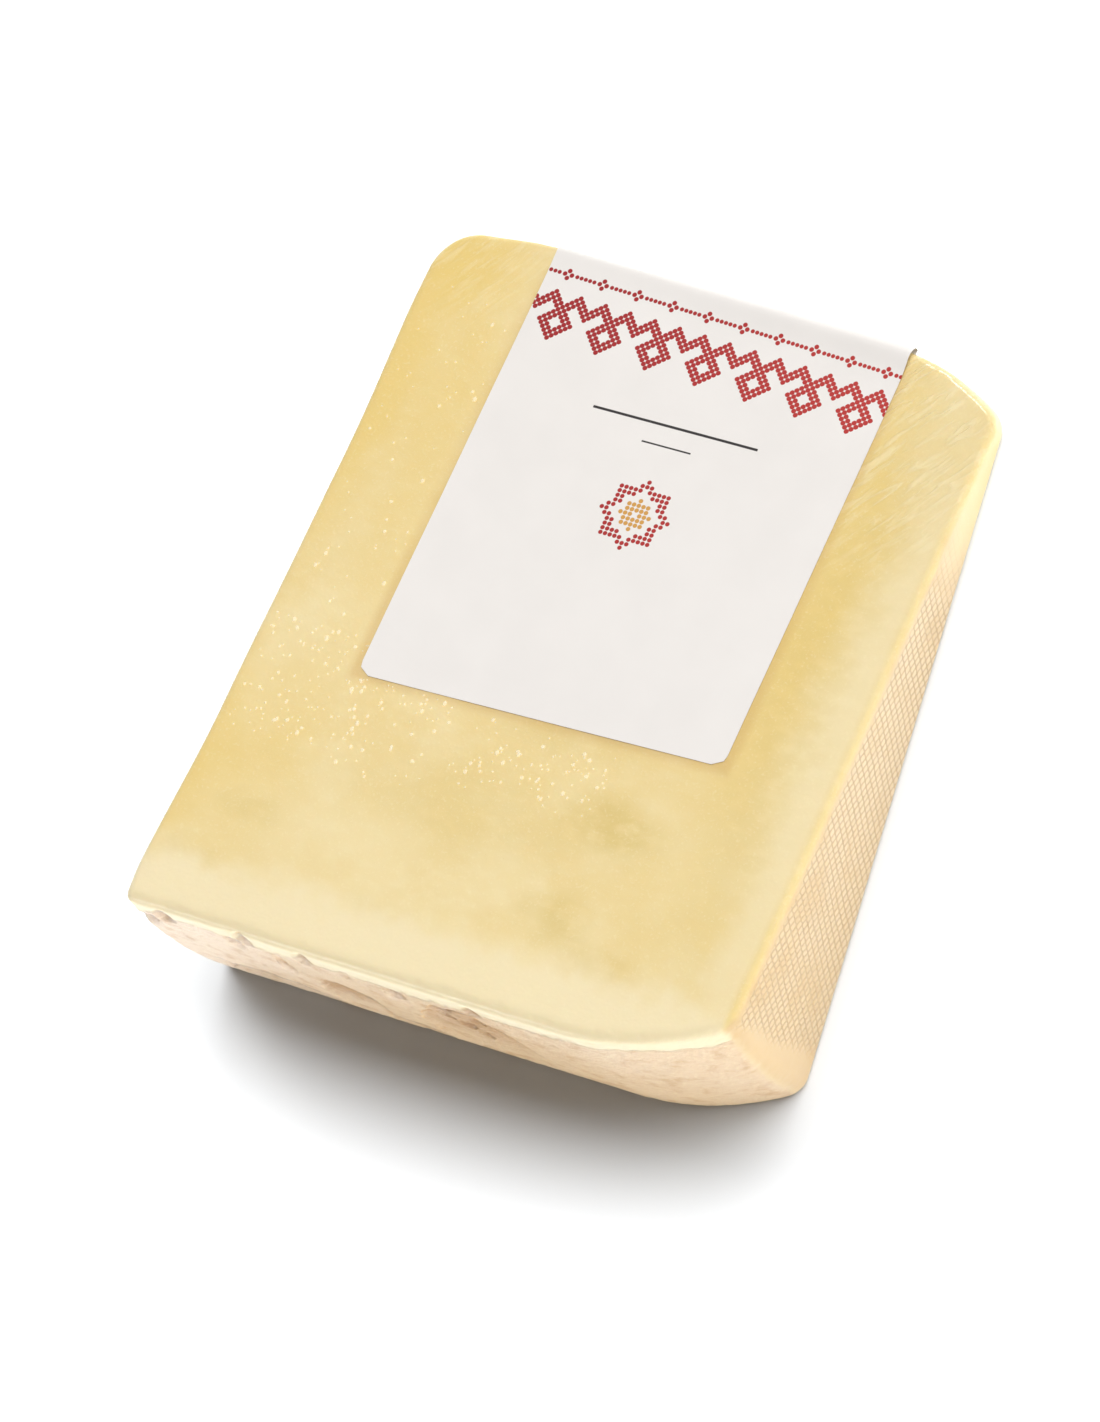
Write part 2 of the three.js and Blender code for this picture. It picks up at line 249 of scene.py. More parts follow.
@dataclass(frozen=True)
class WedgeForm:
    """The wedge as a distance from its surface, with the sizes that the solid model has."""

    radius: float = 162.0
    cut_angle: float = math.radians(17.8)
    width: float = 131.0
    width_gain: float = 1.0
    thin_edge: float = 2.4
    edge_round: float = 1.7
    front_rind_round: float = 2.4
    thin_edge_round: float = 0.8
    most_round: float = 0.45
    nose_length: float = 1.8
    nose_clear: float = 0.6
    thin_corner_round: float = 9.0
    rind_corner_round: float = 2.0
    end_corner_round: float = 3.0
    shoulder_length: float = 35.0
    shoulder_drop: float = 11.0
    thin_drop_length: float = 28.0
    thin_drop: float = 9.0
    thin_swell: float = 1.7
    thin_swell_start: float = 2.0
    thin_swell_end: float = 26.0
    thin_slant: float = 0.031
    left_bow: float = 1.3
    bow_upper: tuple[float, float] = (20.0, 60.0)
    bow_lower: tuple[float, float] = (152.0, 112.0)
    end_lean: float = 1.9
    lean_heights: tuple[float, float] = (40.0, -10.0)
    label_left: float = 25.6
    label_width: float = 81.1
    label_drop: float = 93.4
    label_slant: float = 1.1
    bed_depth: float = 0.9
    bed_edge: float = 3.0
    bed_ramp: float = 5.0
    pit_reach: float = 6.0
    scar_relief: tuple[float, float] = (9.0, 5.0)
    rim_bumps: float = 3.2
    smooth_rim: tuple[float, float] = (1.05, 0.88)
    ragged_rim: tuple[float, float] = (1.02, 0.95)
    slow_waves: float = 0.11
    quick_waves: float = 0.07
    pressed_height: float = 4.0

    @property
    def thin_edge_at(self) -> float:
        """How far the thin edge is from the wheel's axis."""
        return self.thin_edge / math.tan(self.cut_angle)

    def fall(self, along: np.ndarray, length: float, drop: float) -> np.ndarray:
        """How far an outline has fallen in, in a curve over the `length` next to the flat end."""
        return drop * (np.maximum(along - (self.width - length), 0.0) / length) ** 2

    def thin_at(self, along: np.ndarray) -> np.ndarray:
        """How far the thin edge is from the wheel's axis, at each place along it."""
        swell = self.thin_swell * smooth_step(self.thin_swell_start, self.thin_swell_end, along)
        slant = self.thin_slant * np.maximum(along - self.thin_swell_end, 0.0)
        return self.thin_edge_at + self.fall(along, self.thin_drop_length, self.thin_drop) - swell + slant

    def rind_at(self, along: np.ndarray) -> np.ndarray:
        """How far the rind is from the wheel's axis, at each place along it."""
        return self.radius - self.fall(along, self.shoulder_length, self.shoulder_drop)

    def end_at(self, height: np.ndarray) -> np.ndarray:
        """How far the wheel's flat end is from the flat cut, at each height."""
        return self.width - self.end_lean * smooth_step(*self.lean_heights, height)

    def round_from_front(self, points: np.ndarray) -> np.ndarray:
        """How far round the rind each point is from the front cut face."""
        return (self.cut_angle - np.arctan2(points[:, 2], points[:, 1])) * self.radius

    def along_front(self, points: np.ndarray) -> np.ndarray:
        """How far from the wheel's axis each point is, measured on the front cut face."""
        return points[:, 1] * math.cos(self.cut_angle) + points[:, 2] * math.sin(self.cut_angle)

    def under_front(self, points: np.ndarray) -> np.ndarray:
        """How deep below the front cut face each point is."""
        return points[:, 1] * math.sin(self.cut_angle) - points[:, 2] * math.cos(self.cut_angle)

    def unevenness(self, points: np.ndarray) -> np.ndarray:
        """Slow unevenness of all the faces but the rear one, which lies pressed on the floor."""
        along, down, height = points.T
        slow = self.slow_waves * np.sin(along / 17 + 1.3) * np.sin(down / 23 + 0.4)
        quick = self.quick_waves * np.sin(along / 7.3 + height / 5.1) * np.sin(down / 9.7 + 2.1)
        return (slow + quick) * smooth_step(0.0, self.pressed_height, height)

    def wear(self, points: np.ndarray, ragged: float) -> np.ndarray:
        """How far the rind is worn in from its smooth shape.

        Args:
            points: rows of wedge measures.
            ragged: how far the rims of the worn places stray from true ovals.

        Returns:
            A depth for each point.
        """
        inwards = self.radius - np.hypot(points[:, 1], points[:, 2])
        along = points[:, 0] + ragged * rough_bumps(points, self.rim_bumps, 11)
        round_ = self.round_from_front(points) + ragged * rough_bumps(points, self.rim_bumps, 21)
        depth = np.zeros(len(points))
        for pit in PITS:
            reach = np.hypot(pit.reach(along, round_), inwards / self.pit_reach)
            depth += pit.deep * np.maximum(1.0 - reach * reach, 0.0) ** 1.5
        on_rind = smooth_step(*self.scar_relief, inwards)
        rim_width = self.ragged_rim if ragged > 0.0 else self.smooth_rim
        for scar in SCARS:
            lower = (round_ - scar.round) / (scar.tall / 2)
            rim = smooth_step(*rim_width, scar.reach(along, round_))
            depth += scar.deep * rim * smooth_step(1.0, -0.3, lower) * on_rind
        return depth

    def off_label(self, points: np.ndarray) -> np.ndarray:
        """How far each point of the front lies outside the label's outline, below 0 under it."""
        along, radial = points[:, 0], self.along_front(points)
        beside = np.maximum(self.label_left - along, along - self.label_left - self.label_width)
        share = (along - self.label_left) / self.label_width
        end = self.thin_edge_at + self.nose_length + self.label_drop + self.label_slant * (1.0 - 2.0 * share)
        return np.maximum(beside, radial - end)

    def bed_height(self, along: np.ndarray, down: np.ndarray) -> np.ndarray:
        """How high the rear face stands off the floor, in the bed under the label's rear flap."""
        left = self.label_left - self.bed_edge
        right = self.label_left + self.label_width + self.bed_edge
        end = self.thin_edge_at + self.label_drop + self.label_slant + self.bed_edge
        across = smooth_step(left - self.bed_ramp, left, along)
        across = across * smooth_step(right + self.bed_ramp, right, along)
        return self.bed_depth * across * smooth_step(end + self.bed_ramp, end, down)

    def distance(self, points: np.ndarray, worn: float = 1.0, ragged: float = 0.0) -> np.ndarray:
        """Gives the distance from the wedge's surface, below 0 inside.

        Args:
            points: rows of wedge measures.
            worn: how much of the rind's wear counts.
            ragged: how far the rims of the worn places stray from true ovals.

        Returns:
            A distance for each point, true enough close to the surface.
        """
        along, down, height = points.T
        rind = np.hypot(down, height) - self.rind_at(along)
        thin = self.thin_at(along) - down
        bow = smooth_step(*self.bow_upper, down) * smooth_step(*self.bow_lower, down)
        flat_cut = self.left_bow * bow - along - self.width_gain * (down / self.radius)
        flat_end = along - self.end_at(height)
        left = round_max(round_max(flat_cut, thin, self.thin_corner_round), rind, self.rind_corner_round)
        right = round_max(round_max(flat_end, thin, self.end_corner_round), rind, self.end_corner_round)
        outline = np.where(along < self.width / 2, left, right)
        front = -self.under_front(points)
        rear = self.bed_height(along, down) - height
        cut_faces = round_max(front, rear, self.thin_edge_round)
        near_edge = (-3 * self.front_rind_round, -self.front_rind_round)
        worn_edge = smooth_step(*near_edge, rind) * smooth_step(*near_edge, front)
        edge_round = self.edge_round + (self.front_rind_round - self.edge_round) * worn_edge
        most_round = self.most_round * np.maximum(down, 1.0) * math.tan(self.cut_angle)
        smooth = round_max(outline, cut_faces, np.minimum(edge_round, most_round)) + self.unevenness(points)
        if worn > 0.0:
            smooth = smooth + worn * self.wear(points, ragged)
        return smooth

    def slope(self, points: np.ndarray, **how: float) -> np.ndarray:
        """Gives the way that the distance grows fastest, at each point."""
        probe = 0.02
        columns = []
        for axis in range(3):
            step = np.zeros(3)
            step[axis] = probe
            ahead = self.distance(points + step, **how)
            behind = self.distance(points - step, **how)
            columns.append((ahead - behind) / (2 * probe))
        return np.stack(columns, axis=1)

    def settle(
        self, points: np.ndarray, level: float | np.ndarray, rounds: int = 8, **how: float
    ) -> np.ndarray:
        """Moves points along the slope of the distance until they lie `level` off the surface.

        Args:
            points: rows of wedge measures.
            level: how far off the surface they end up, above 0 outside.
            rounds: how often the move is repeated.
            **how: passed on to `distance`.

        Returns:
            The moved points.
        """
        for _ in range(rounds):
            slope = self.slope(points, **how)
            steepness = np.maximum((slope * slope).sum(axis=1), 0.05)
            move = (self.distance(points, **how) - level) / steepness
            points = points - np.clip(move, -4.0, 4.0)[:, None] * slope
        return points

    def nose_start(self, along: np.ndarray, turn: np.ndarray) -> np.ndarray:
        """Points off the thin edge, `turn` 0 at the rear face and 1 at the front face."""
        thickness = self.thin_at(along) * math.tan(self.cut_angle)
        rear, front = 1.5 * math.pi, math.pi / 2 + self.cut_angle
        turned = rear + turn * (front - rear)
        down = self.thin_at(along) + self.nose_length * (1.0 + np.cos(turned))
        height = thickness / 2 + (thickness / 2 + self.nose_clear) * np.sin(turned)
        return np.stack([along, down, height], axis=1)

    def lattice_place(self, shares: np.ndarray) -> np.ndarray:
        """Spreads a unit cube's skin over the sharp wedge.

        Args:
            shares: rows of three shares from 0 to 1, across, down and through the thickness.

        Returns:
            Rows of wedge measures, near the surface.
        """
        across, drop, depth = shares.T
        turn = self.cut_angle * depth
        along = self.end_at(self.radius * drop * np.sin(turn)) * across
        top = self.thin_at(along) + self.nose_length
        radial = top + (self.rind_at(along) - top) * drop
        faces = np.stack([along, radial * np.cos(turn), radial * np.sin(turn)], axis=1)
        on_nose = (drop < 1e-6)[:, None]
        return np.where(on_nose, self.nose_start(along, depth), faces)


FORM = WedgeForm()


@dataclass(frozen=True)
class Placing:
    """Turns wedge measures into the part's frame."""

    offset: Vector

    @classmethod
    def from_frame(cls) -> "Placing":
        """Finds the offset by laying the form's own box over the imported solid's box."""
        steps = np.linspace(0.0, 1.0, 41)
        grid = np.stack(np.meshgrid(steps, steps, steps, indexing="ij"), axis=-1).reshape(-1, 3)
        grid = grid[((grid < 1e-6) | (grid > 1.0 - 1e-6)).any(axis=1)]
        skin = FORM.settle(FORM.lattice_place(grid), 0.0)
        low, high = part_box("cheese")
        middle = (low + high) / (2 * METRES)
        along = (skin[:, 0].min() + skin[:, 0].max()) / 2
        down = (skin[:, 1].min() + skin[:, 1].max()) / 2
        return cls(Vector((middle.x - along, middle.y + down, low.z / METRES)))

    def to_frame(self, points: np.ndarray) -> np.ndarray:
        """Turns wedge measures into metres in the part's frame."""
        mirrored = points * np.array([1.0, -1.0, 1.0])
        return (mirrored + np.array(self.offset)) * METRES


# ---------------------------------------------------------------- modelling


class Part(Enum):
    """The elements of a mesh that can be selected."""

    EDGES = (False, True, False)
    FACES = (False, False, True)


def coordinates(mesh: bpy.types.Mesh) -> np.ndarray:
    """Reads a mesh's vertices as rows of three numbers."""
    flat = np.empty(len(mesh.vertices) * 3)
    mesh.vertices.foreach_get("co", flat)
    return flat.reshape(-1, 3)


def move_vertices(mesh: bpy.types.Mesh, points: np.ndarray) -> None:
    """Writes a mesh's vertices from rows of three numbers."""
    mesh.vertices.foreach_set("co", points.ravel())
    mesh.update()


def only_select(piece: bpy.types.Object) -> None:
    """Makes one object the only selected one, and the active one."""
    bpy.ops.object.select_all(action="DESELECT")
    piece.select_set(True)
    bpy.context.view_layer.objects.active = piece


def select_in_mesh(mesh: bpy.types.Mesh, part: Part, chosen: np.ndarray) -> None:
    """Selects some of a mesh's edges or faces, and nothing else.

    Args:
        mesh: the mesh, in object mode.
        part: which kind of element.
        chosen: True for each element to select.
    """
    bpy.context.tool_settings.mesh_select_mode = part.value
    mesh.vertices.foreach_set("select", np.zeros(len(mesh.vertices), dtype=bool))
    mesh.edges.foreach_set("select", np.zeros(len(mesh.edges), dtype=bool))
    mesh.polygons.foreach_set("select", np.zeros(len(mesh.polygons), dtype=bool))
    elements = mesh.edges if part is Part.EDGES else mesh.polygons
    elements.foreach_set("select", chosen)


def subdivide(piece: bpy.types.Object, part: Part, chosen: np.ndarray, cuts: int) -> None:
    """Cuts the chosen edges or faces of a piece into smaller ones.

    Args:
        piece: the object, in object mode.
        part: which kind of element.
        chosen: True for each element to cut.
        cuts: how many cuts each edge gets.
    """
    only_select(piece)
    select_in_mesh(piece.data, part, chosen)
    bpy.ops.object.mode_set(mode="EDIT")
    bpy.ops.mesh.subdivide(number_cuts=cuts)
    bpy.ops.object.mode_set(mode="OBJECT")


def face_middles(mesh: bpy.types.Mesh) -> np.ndarray:
    """Reads the middle of each face."""
    flat = np.empty(len(mesh.polygons) * 3)
    mesh.polygons.foreach_get("center", flat)
    return flat.reshape(-1, 3)


def lattice_cube(name: str, steps: tuple[int, int, int]) -> bpy.types.Object:
    """Models a unit cube whose skin is cut into a lattice.

    Args:
        name: the piece's name.
        steps: how many cells it has along X, Y and Z.

    Returns:
        The new object.
    """
    bpy.ops.object.select_all(action="DESELECT")
    bpy.ops.mesh.primitive_cube_add(size=1.0, location=(0.5, 0.5, 0.5))
    bpy.ops.object.transform_apply(location=True, rotation=True, scale=True)
    cube = bpy.context.object
    cube.name = name
    cube.data.name = name
    for axis, count in enumerate(steps):
        ends = np.empty(len(cube.data.edges) * 2, dtype=np.int32)
        cube.data.edges.foreach_get("vertices", ends)
        first, second = coordinates(cube.data)[ends.reshape(-1, 2).T]
        subdivide(cube, Part.EDGES, np.abs(first - second)[:, axis] > 1e-6, count - 1)
    return cube


def close_up(piece: bpy.types.Object) -> None:
    """Turns faces of more than four sides into smaller ones, and points all of them outwards."""
    only_select(piece)
    sides = np.empty(len(piece.data.polygons), dtype=np.int32)
    piece.data.polygons.foreach_get("loop_total", sides)
    select_in_mesh(piece.data, Part.FACES, sides > 4)
    bpy.ops.object.mode_set(mode="EDIT")
    bpy.ops.mesh.quads_convert_to_tris(quad_method="BEAUTY", ngon_method="BEAUTY")
    bpy.ops.mesh.select_all(action="SELECT")
    bpy.ops.mesh.normals_make_consistent(inside=False)
    bpy.ops.object.mode_set(mode="OBJECT")
    bpy.ops.object.shade_smooth()


def add_attribute(mesh: bpy.types.Mesh, name: str, values: np.ndarray) -> None:
    """Stores a number at each vertex, for the mesh's material to read."""
    attribute = mesh.attributes.new(name, "FLOAT", "POINT")
    attribute.data.foreach_set("value", values.astype(np.float32))


def crowd(shares: np.ndarray, crowding: tuple[float, float, float]) -> np.ndarray:
    """Draws shares from 0 to 1 towards both ends, by an amount for each axis."""
    return shares - np.array(crowding) * np.sin(2 * np.pi * shares) / (2 * np.pi)


def dress(piece: bpy.types.Object, material: bpy.types.Material, slot: str, *replaced: str) -> None:
    """Gives a finished piece its material and its place in the part.

    Args:
        piece: the finished object.
        material: its material.
        slot: the record's material slot for the piece; not used.
        *replaced: the solids that it stands for.
    """
    piece.data.materials.clear()
    piece.data.materials.append(material)
    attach(piece, BODY)
    if replaced:
        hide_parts(*replaced)
    faces = sum(len(polygon.vertices) - 2 for polygon in piece.data.polygons)
    LOG.info("%s: %d triangles", piece.name, faces)


# ---------------------------------------------------------------- materials


def colour(red: int, green: int, blue: int) -> tuple[float, float, float, float]:
    """Turns a colour as seen on a screen, 0 to 255, into the light that a shader works with."""
    shown = np.array([red, green, blue]) / 255.0
    light = np.where(shown <= 0.04045, shown / 12.92, ((shown + 0.055) / 1.055) ** 2.4)
    return (*(float(part) for part in light), 1.0)


class Field:
    """A number, colour or place that varies over a surface, as a socket of a material's nodes."""

    def __init__(self, tree: bpy.types.NodeTree, socket: bpy.types.NodeSocket) -> None:
        """Keeps the socket and the tree that it belongs to."""
        self.tree = tree
        self.socket = socket

    def math(self, operation: str, *others: "Field | float") -> "Field":
        """Adds a sum that starts with this field.

        Args:
            operation: Blender's name for the sum.
            *others: the other numbers in it.

        Returns:
            The result.
        """
        node = self.tree.nodes.new("ShaderNodeMath")
        node.operation = operation
        for place, value in enumerate((self, *others)):
            connect(self.tree, node.inputs[place], value)
        return Field(self.tree, node.outputs[0])

    def __add__(self, other: "Field | float") -> "Field":
        """Adds."""
        return self.math("ADD", other)

    def __sub__(self, other: "Field | float") -> "Field":
        """Takes away."""
        return self.math("SUBTRACT", other)

    def __mul__(self, other: "Field | float") -> "Field":
        """Multiplies."""
        return self.math("MULTIPLY", other)

    def __truediv__(self, other: "Field | float") -> "Field":
        """Divides."""
        return self.math("DIVIDE", other)

    def away(self) -> "Field":
        """Drops the sign."""
        return self.math("ABSOLUTE")

    def step(self, low: float, high: float) -> "Field":
        """Goes smoothly from 0 at `low` to 1 at `high`, which may be the smaller of the two."""
        node = self.tree.nodes.new("ShaderNodeMapRange")
        node.interpolation_type = "SMOOTHSTEP"
        node.inputs["From Min"].default_value = low
        node.inputs["From Max"].default_value = high
        connect(self.tree, node.inputs["Value"], self)
        return Field(self.tree, node.outputs["Result"])

    def far(self, other: "Field", x: float, y: float) -> "Field":
        """Gives the distance of the place (self, other) from (x, y)."""
        across = self - x
        up = other - y
        return (across * across + up * up).math("SQRT")


def connect(tree: bpy.types.NodeTree, socket: bpy.types.NodeSocket, value: "Field | float | tuple") -> None:
    """Links a field to a socket, or sets the socket to a fixed value."""
    if isinstance(value, Field):
        tree.links.new(value.socket, socket)
    else:
        socket.default_value = value


class NodeSheet:
    """The nodes of one material, with short ways to add to them."""

    def __init__(self, name: str) -> None:
        """Starts a material that has a Principled shader."""
        self.material = bpy.data.materials.new(name)
        self.material.use_nodes = True
        self.tree = self.material.node_tree
        self.shader = self.tree.nodes["Principled BSDF"]

    def set(self, **sockets: "Field | float | tuple") -> None:
        """Sets the shader's sockets, which are named with _ for a space."""
        for name, value in sockets.items():
            connect(self.tree, self.shader.inputs[name.replace("_", " ")], value)

    def attribute(self, name: str) -> Field:
        """Reads a number that the mesh stores."""
        node = self.tree.nodes.new("ShaderNodeAttribute")
        node.attribute_name = name
        return Field(self.tree, node.outputs["Fac"])

    def place(self) -> Field:
        """Reads the place on the object, in millimetres."""
        source = self.tree.nodes.new("ShaderNodeTexCoord")
        scale = self.tree.nodes.new("ShaderNodeVectorMath")
        scale.operation = "SCALE"
        scale.inputs["Scale"].default_value = 1.0 / METRES
        self.tree.links.new(source.outputs["Object"], scale.inputs[0])
        return Field(self.tree, scale.outputs[0])

    def parts(self, vector: Field) -> tuple[Field, Field, Field]:
        """Splits a place into its three numbers."""
        node = self.tree.nodes.new("ShaderNodeSeparateXYZ")
        self.tree.links.new(vector.socket, node.inputs[0])
        x, y, z = (Field(self.tree, output) for output in node.outputs)
        return x, y, z

    def sheet_place(self, name: str) -> tuple[Field, Field]:
        """Reads the place on the mesh's own flat sheet, in millimetres."""
        node = self.tree.nodes.new("ShaderNodeUVMap")
        node.uv_map = name
        x, y, _ = self.parts(Field(self.tree, node.outputs["UV"]))
        return x, y

    def noise(
        self, place: Field, size: float, detail: float = 2.0, stretch: tuple | None = None, swirl: float = 0.0
    ) -> Field:
        """Adds a cloudy pattern.

        Args:
            place: where it is read, in millimetres.
            size: how far apart its clouds are.
            detail: how many finer clouds are added.
            stretch: how much the pattern is drawn out along each axis.
            swirl: how far the clouds are bent.

        Returns:
            A number of about 0.25 to 0.75, 0.5 on average.
        """
        if stretch is not None:
            mapping = self.tree.nodes.new("ShaderNodeMapping")
            mapping.inputs["Scale"].default_value = tuple(1.0 / part for part in stretch)
            self.tree.links.new(place.socket, mapping.inputs["Vector"])
            place = Field(self.tree, mapping.outputs[0])
        node = self.tree.nodes.new("ShaderNodeTexNoise")
        node.inputs["Scale"].default_value = 1.0 / size
        node.inputs["Detail"].default_value = detail
        node.inputs["Distortion"].default_value = swirl
        self.tree.links.new(place.socket, node.inputs["Vector"])
        return Field(self.tree, node.outputs["Fac"])

    def mix(self, share: "Field | float", low: "Field | tuple", high: "Field | tuple") -> Field:
        """Mixes two colours, `low` at share 0 and `high` at share 1."""
        node = self.tree.nodes.new("ShaderNodeMix")
        node.data_type = "RGBA"
        connect(self.tree, node.inputs[0], share)
        connect(self.tree, node.inputs[6], low)
        connect(self.tree, node.inputs[7], high)
        return Field(self.tree, node.outputs[2])

    def bump(self, height: Field, strength: float) -> None:
        """Roughens the surface by a height in millimetres."""
        node = self.tree.nodes.new("ShaderNodeBump")
        node.inputs["Strength"].default_value = strength
        node.inputs["Distance"].default_value = METRES
        connect(self.tree, node.inputs["Height"], height)
        self.tree.links.new(node.outputs["Normal"], self.shader.inputs["Normal"])


@dataclass(frozen=True)
class ClothMark:
    """The mark of the cloth on the wheel's flat end: rows of small lumps.

    The two steps lead from one lump to the next, as (depth below the front face, distance from the
    wheel's axis).
    """

    row_step: tuple[float, float] = (1.63, 0.44)
    next_row: tuple[float, float] = (-0.72, 1.78)
    relief: float = 0.32
    stray: float = 0.5
    front_edge: float = 2.2
    first_lumps: tuple[float, float] = (38.0, 58.0)
    lower_edge: float = 150.0
    lower_slope: float = 0.27

    def lumps(self, sheet: NodeSheet, depth: Field, radial: Field, stray: Field) -> Field:
        """Gives the height of the cloth's lumps, 0 in the gaps and 1 on top."""
        (a_depth, a_radial), (b_depth, b_radial) = self.row_step, self.next_row
        turn = 2 * math.pi / (a_depth * b_radial - a_radial * b_depth)
        along_row = depth * (b_radial * turn) - radial * (b_depth * turn) + stray
        across_rows = radial * (a_depth * turn) - depth * (a_radial * turn) + stray * 0.7
        first = along_row.math("COSINE") * 0.5 + 0.5
        second = across_rows.math("COSINE") * 0.5 + 0.5
        return (first * second).math("POWER", 0.35).step(0.05, 0.6)

    def cover(self, points: np.ndarray) -> np.ndarray:
        """Gives how clearly the mark shows at each point of the flat end."""
        depth, radial = FORM.under_front(points), FORM.along_front(points)
        stray = 1.2 * bumps(points, 4.0, 31)
        front = smooth_step(self.front_edge - 0.4, self.front_edge + 0.9, depth + 0.4 * stray)
        upper = smooth_step(*self.first_lumps, radial + 3 * stray)
        lower_edge = self.lower_edge - self.lower_slope * depth
        lower = smooth_step(1.5, -2.0, radial - lower_edge + stray)
        return front * upper * lower


@dataclass(frozen=True)
class CheeseFinish:
    """Waxy pale paste, golden towards the thin edge, with a tan rind and a cloth-marked flat end."""

    paste: tuple = colour(234, 211, 150)
    pale: tuple = colour(240, 222, 172)
    gold: tuple = colour(232, 203, 120)
    # the colour of olive smudges, and of the painted shade along the flat end's rounded edge
    smudge_and_edge_shade: tuple = colour(216, 190, 112)
    cream: tuple = colour(242, 226, 184)
    rind_left: tuple = colour(236, 212, 183)
    rind_right: tuple = colour(226, 197, 157)
    rind_stain: tuple = colour(205, 164, 113)
    cloth: tuple = colour(231, 204, 157)
    cloth_gap: tuple = colour(203, 168, 113)
    cloth_darker: tuple = colour(218, 183, 124)
    # painted shade: the darker brown given to the rind's deep worn places
    pit: tuple = colour(178, 128, 70)
    # the colour of pale grain flecks, and of the painted sheen in the film's creases
    grain_and_crease_sheen: tuple = colour(250, 236, 196)
    # painted shadow: the warm dark tone of the paste just beside the label's edges
    painted_label_shadow: tuple = colour(206, 164, 90)
    roughness: float = 0.46
    gloss: float = 0.22
    subsurface: float = 0.12
    scatter: tuple = (2.2, 1.3, 0.5)
    cloth_mark: ClothMark = ClothMark()

    def material(self, placing: Placing) -> bpy.types.Material:
        """Builds the material from the numbers that the cheese stores at its vertices.

        Args:
            placing: where the wedge is in the part's frame, for the cloth's rows of lumps.

        Returns:
            The new material.
        """
        sheet = NodeSheet("cheese_paste_and_rind")
        place = sheet.place()
        grain = sheet.noise(place, 0.6, 2.0)
        paste = self.paste_colour(sheet, place, grain)
        rind_cover = sheet.attribute("rind")
        rind = sheet.mix(sheet.attribute("right"), self.rind_left, self.rind_right)
        rind = sheet.mix(sheet.noise(place, 4.0, 4.0).step(0.46, 0.74) * 0.75, rind, self.rind_stain)
        rind = sheet.mix(sheet.noise(place, 1.1, 3.0).step(0.5, 0.72) * 0.3, rind, self.cream)
        body = sheet.mix(rind_cover, paste, rind)
        lumps = self.cloth_lumps(sheet, place, placing)
        shown = sheet.attribute("lumps")
        high = lumps * shown + (shown * -0.7 + 0.7)
        cloth = sheet.mix(high, self.cloth_gap, self.cloth)
        # random stains on the cloth mark, and the flat end coloured darker towards the rind
        cloth_darkening = sheet.noise(place, 9.0, 2.0).step(0.46, 0.72) * 0.5 + sheet.attribute("end_darker_towards_rind")
        cloth = sheet.mix(cloth_darkening, cloth, self.cloth_darker)
        body = sheet.mix(sheet.attribute("cloth"), body, cloth)
        # painted shade in the rind's pits
        body = sheet.mix(sheet.attribute("pit"), body, self.pit)
        sheet.set(Base_Color=body, Roughness=grain * 0.14 + rind_cover * 0.14 + (self.roughness - 0.07))
        sheet.shader.inputs["Specular IOR Level"].default_value = self.gloss
        sheet.set(
            Subsurface_Weight=self.subsurface, Subsurface_Radius=self.scatter, Subsurface_Scale=METRES
        )
        height = grain * 0.02 + sheet.noise(place, 2.4, 2.0) * 0.08 + lumps * shown * self.cloth_mark.relief
        crust = sheet.noise(place, 0.8, 3.0) * 0.3 + sheet.noise(place, 2.2, 2.0) * 0.4
        streaks = self.streaks(sheet, place) * sheet.attribute("crinkle") * 0.14
        sheet.bump(height + crust * rind_cover + streaks, 1.0)
        return sheet.material

    def paste_colour(self, sheet: NodeSheet, place: Field, grain: Field) -> Field:
        """Mixes the colour of the cut faces: clouds, patches, olive smudges and fine grain, with painted
        shade along the flat end's edge, painted sheen in the film's creases and a painted shadow beside the
        label.
        """
        clouds = sheet.noise(place, 13.0, 4.0).step(0.36, 0.66)
        flecks = sheet.noise(place, 2.6, 3.0, (1.8, 1.0, 1.0))
        paste = sheet.mix(clouds * 0.55 + flecks.step(0.42, 0.7) * 0.3, self.paste, self.pale)
        paste = sheet.mix(sheet.attribute("gold"), paste, self.gold)
        paste = sheet.mix(sheet.attribute("pale"), paste, self.pale)
        ragged = flecks.step(0.28, 0.62) * 0.7 + 0.3
        # olive smudges, with painted shade along the flat end's rounded edge
        paste = sheet.mix(sheet.attribute("smudge_and_edge_shade") * ragged, paste, self.smudge_and_edge_shade)
        paste = sheet.mix(sheet.attribute("cream"), paste, self.cream)
        paste = sheet.mix(grain.step(0.55, 0.75) * 0.22, paste, self.grain_and_crease_sheen)
        # painted sheen: the paste is lightened in slanting streaks where the film has creases
        paste = sheet.mix(self.streaks(sheet, place) * sheet.attribute("crinkle") * 0.45, paste, self.grain_and_crease_sheen)
        # a painted shadow of the label, darkening the paste just outside its edges
        return sheet.mix(sheet.attribute("painted_label_shadow"), paste, self.painted_label_shadow)

    def streaks(self, sheet: NodeSheet, place: Field) -> Field:
        """Draws slanting streaks where the film has creases, which roughen the paste and carry a painted
        sheen.
        """
        turned = sheet.tree.nodes.new("ShaderNodeMapping")
        turned.inputs["Rotation"].default_value = (0.0, 0.0, math.radians(-54.0))
        sheet.tree.links.new(place.socket, turned.inputs["Vector"])
        slanting = sheet.noise(Field(sheet.tree, turned.outputs[0]), 1.0, 4.0, (9.0, 1.3, 3.0), 0.7)
        return slanting.step(0.42, 0.72)

    def cloth_lumps(self, sheet: NodeSheet, place: Field, placing: Placing) -> Field:
        """Draws the cloth's lumps at each place of the flat end."""
        _, across, up = sheet.parts(place)
        down = across * -1.0 + placing.offset.y
        cosine, sine = math.cos(FORM.cut_angle), math.sin(FORM.cut_angle)
        radial = down * cosine + up * sine
        depth = down * sine - up * cosine
        stray = (sheet.noise(place, 5.0, 2.0) - 0.5) * (self.cloth_mark.stray * 2 * math.pi)
        return self.cloth_mark.lumps(sheet, depth, radial, stray)


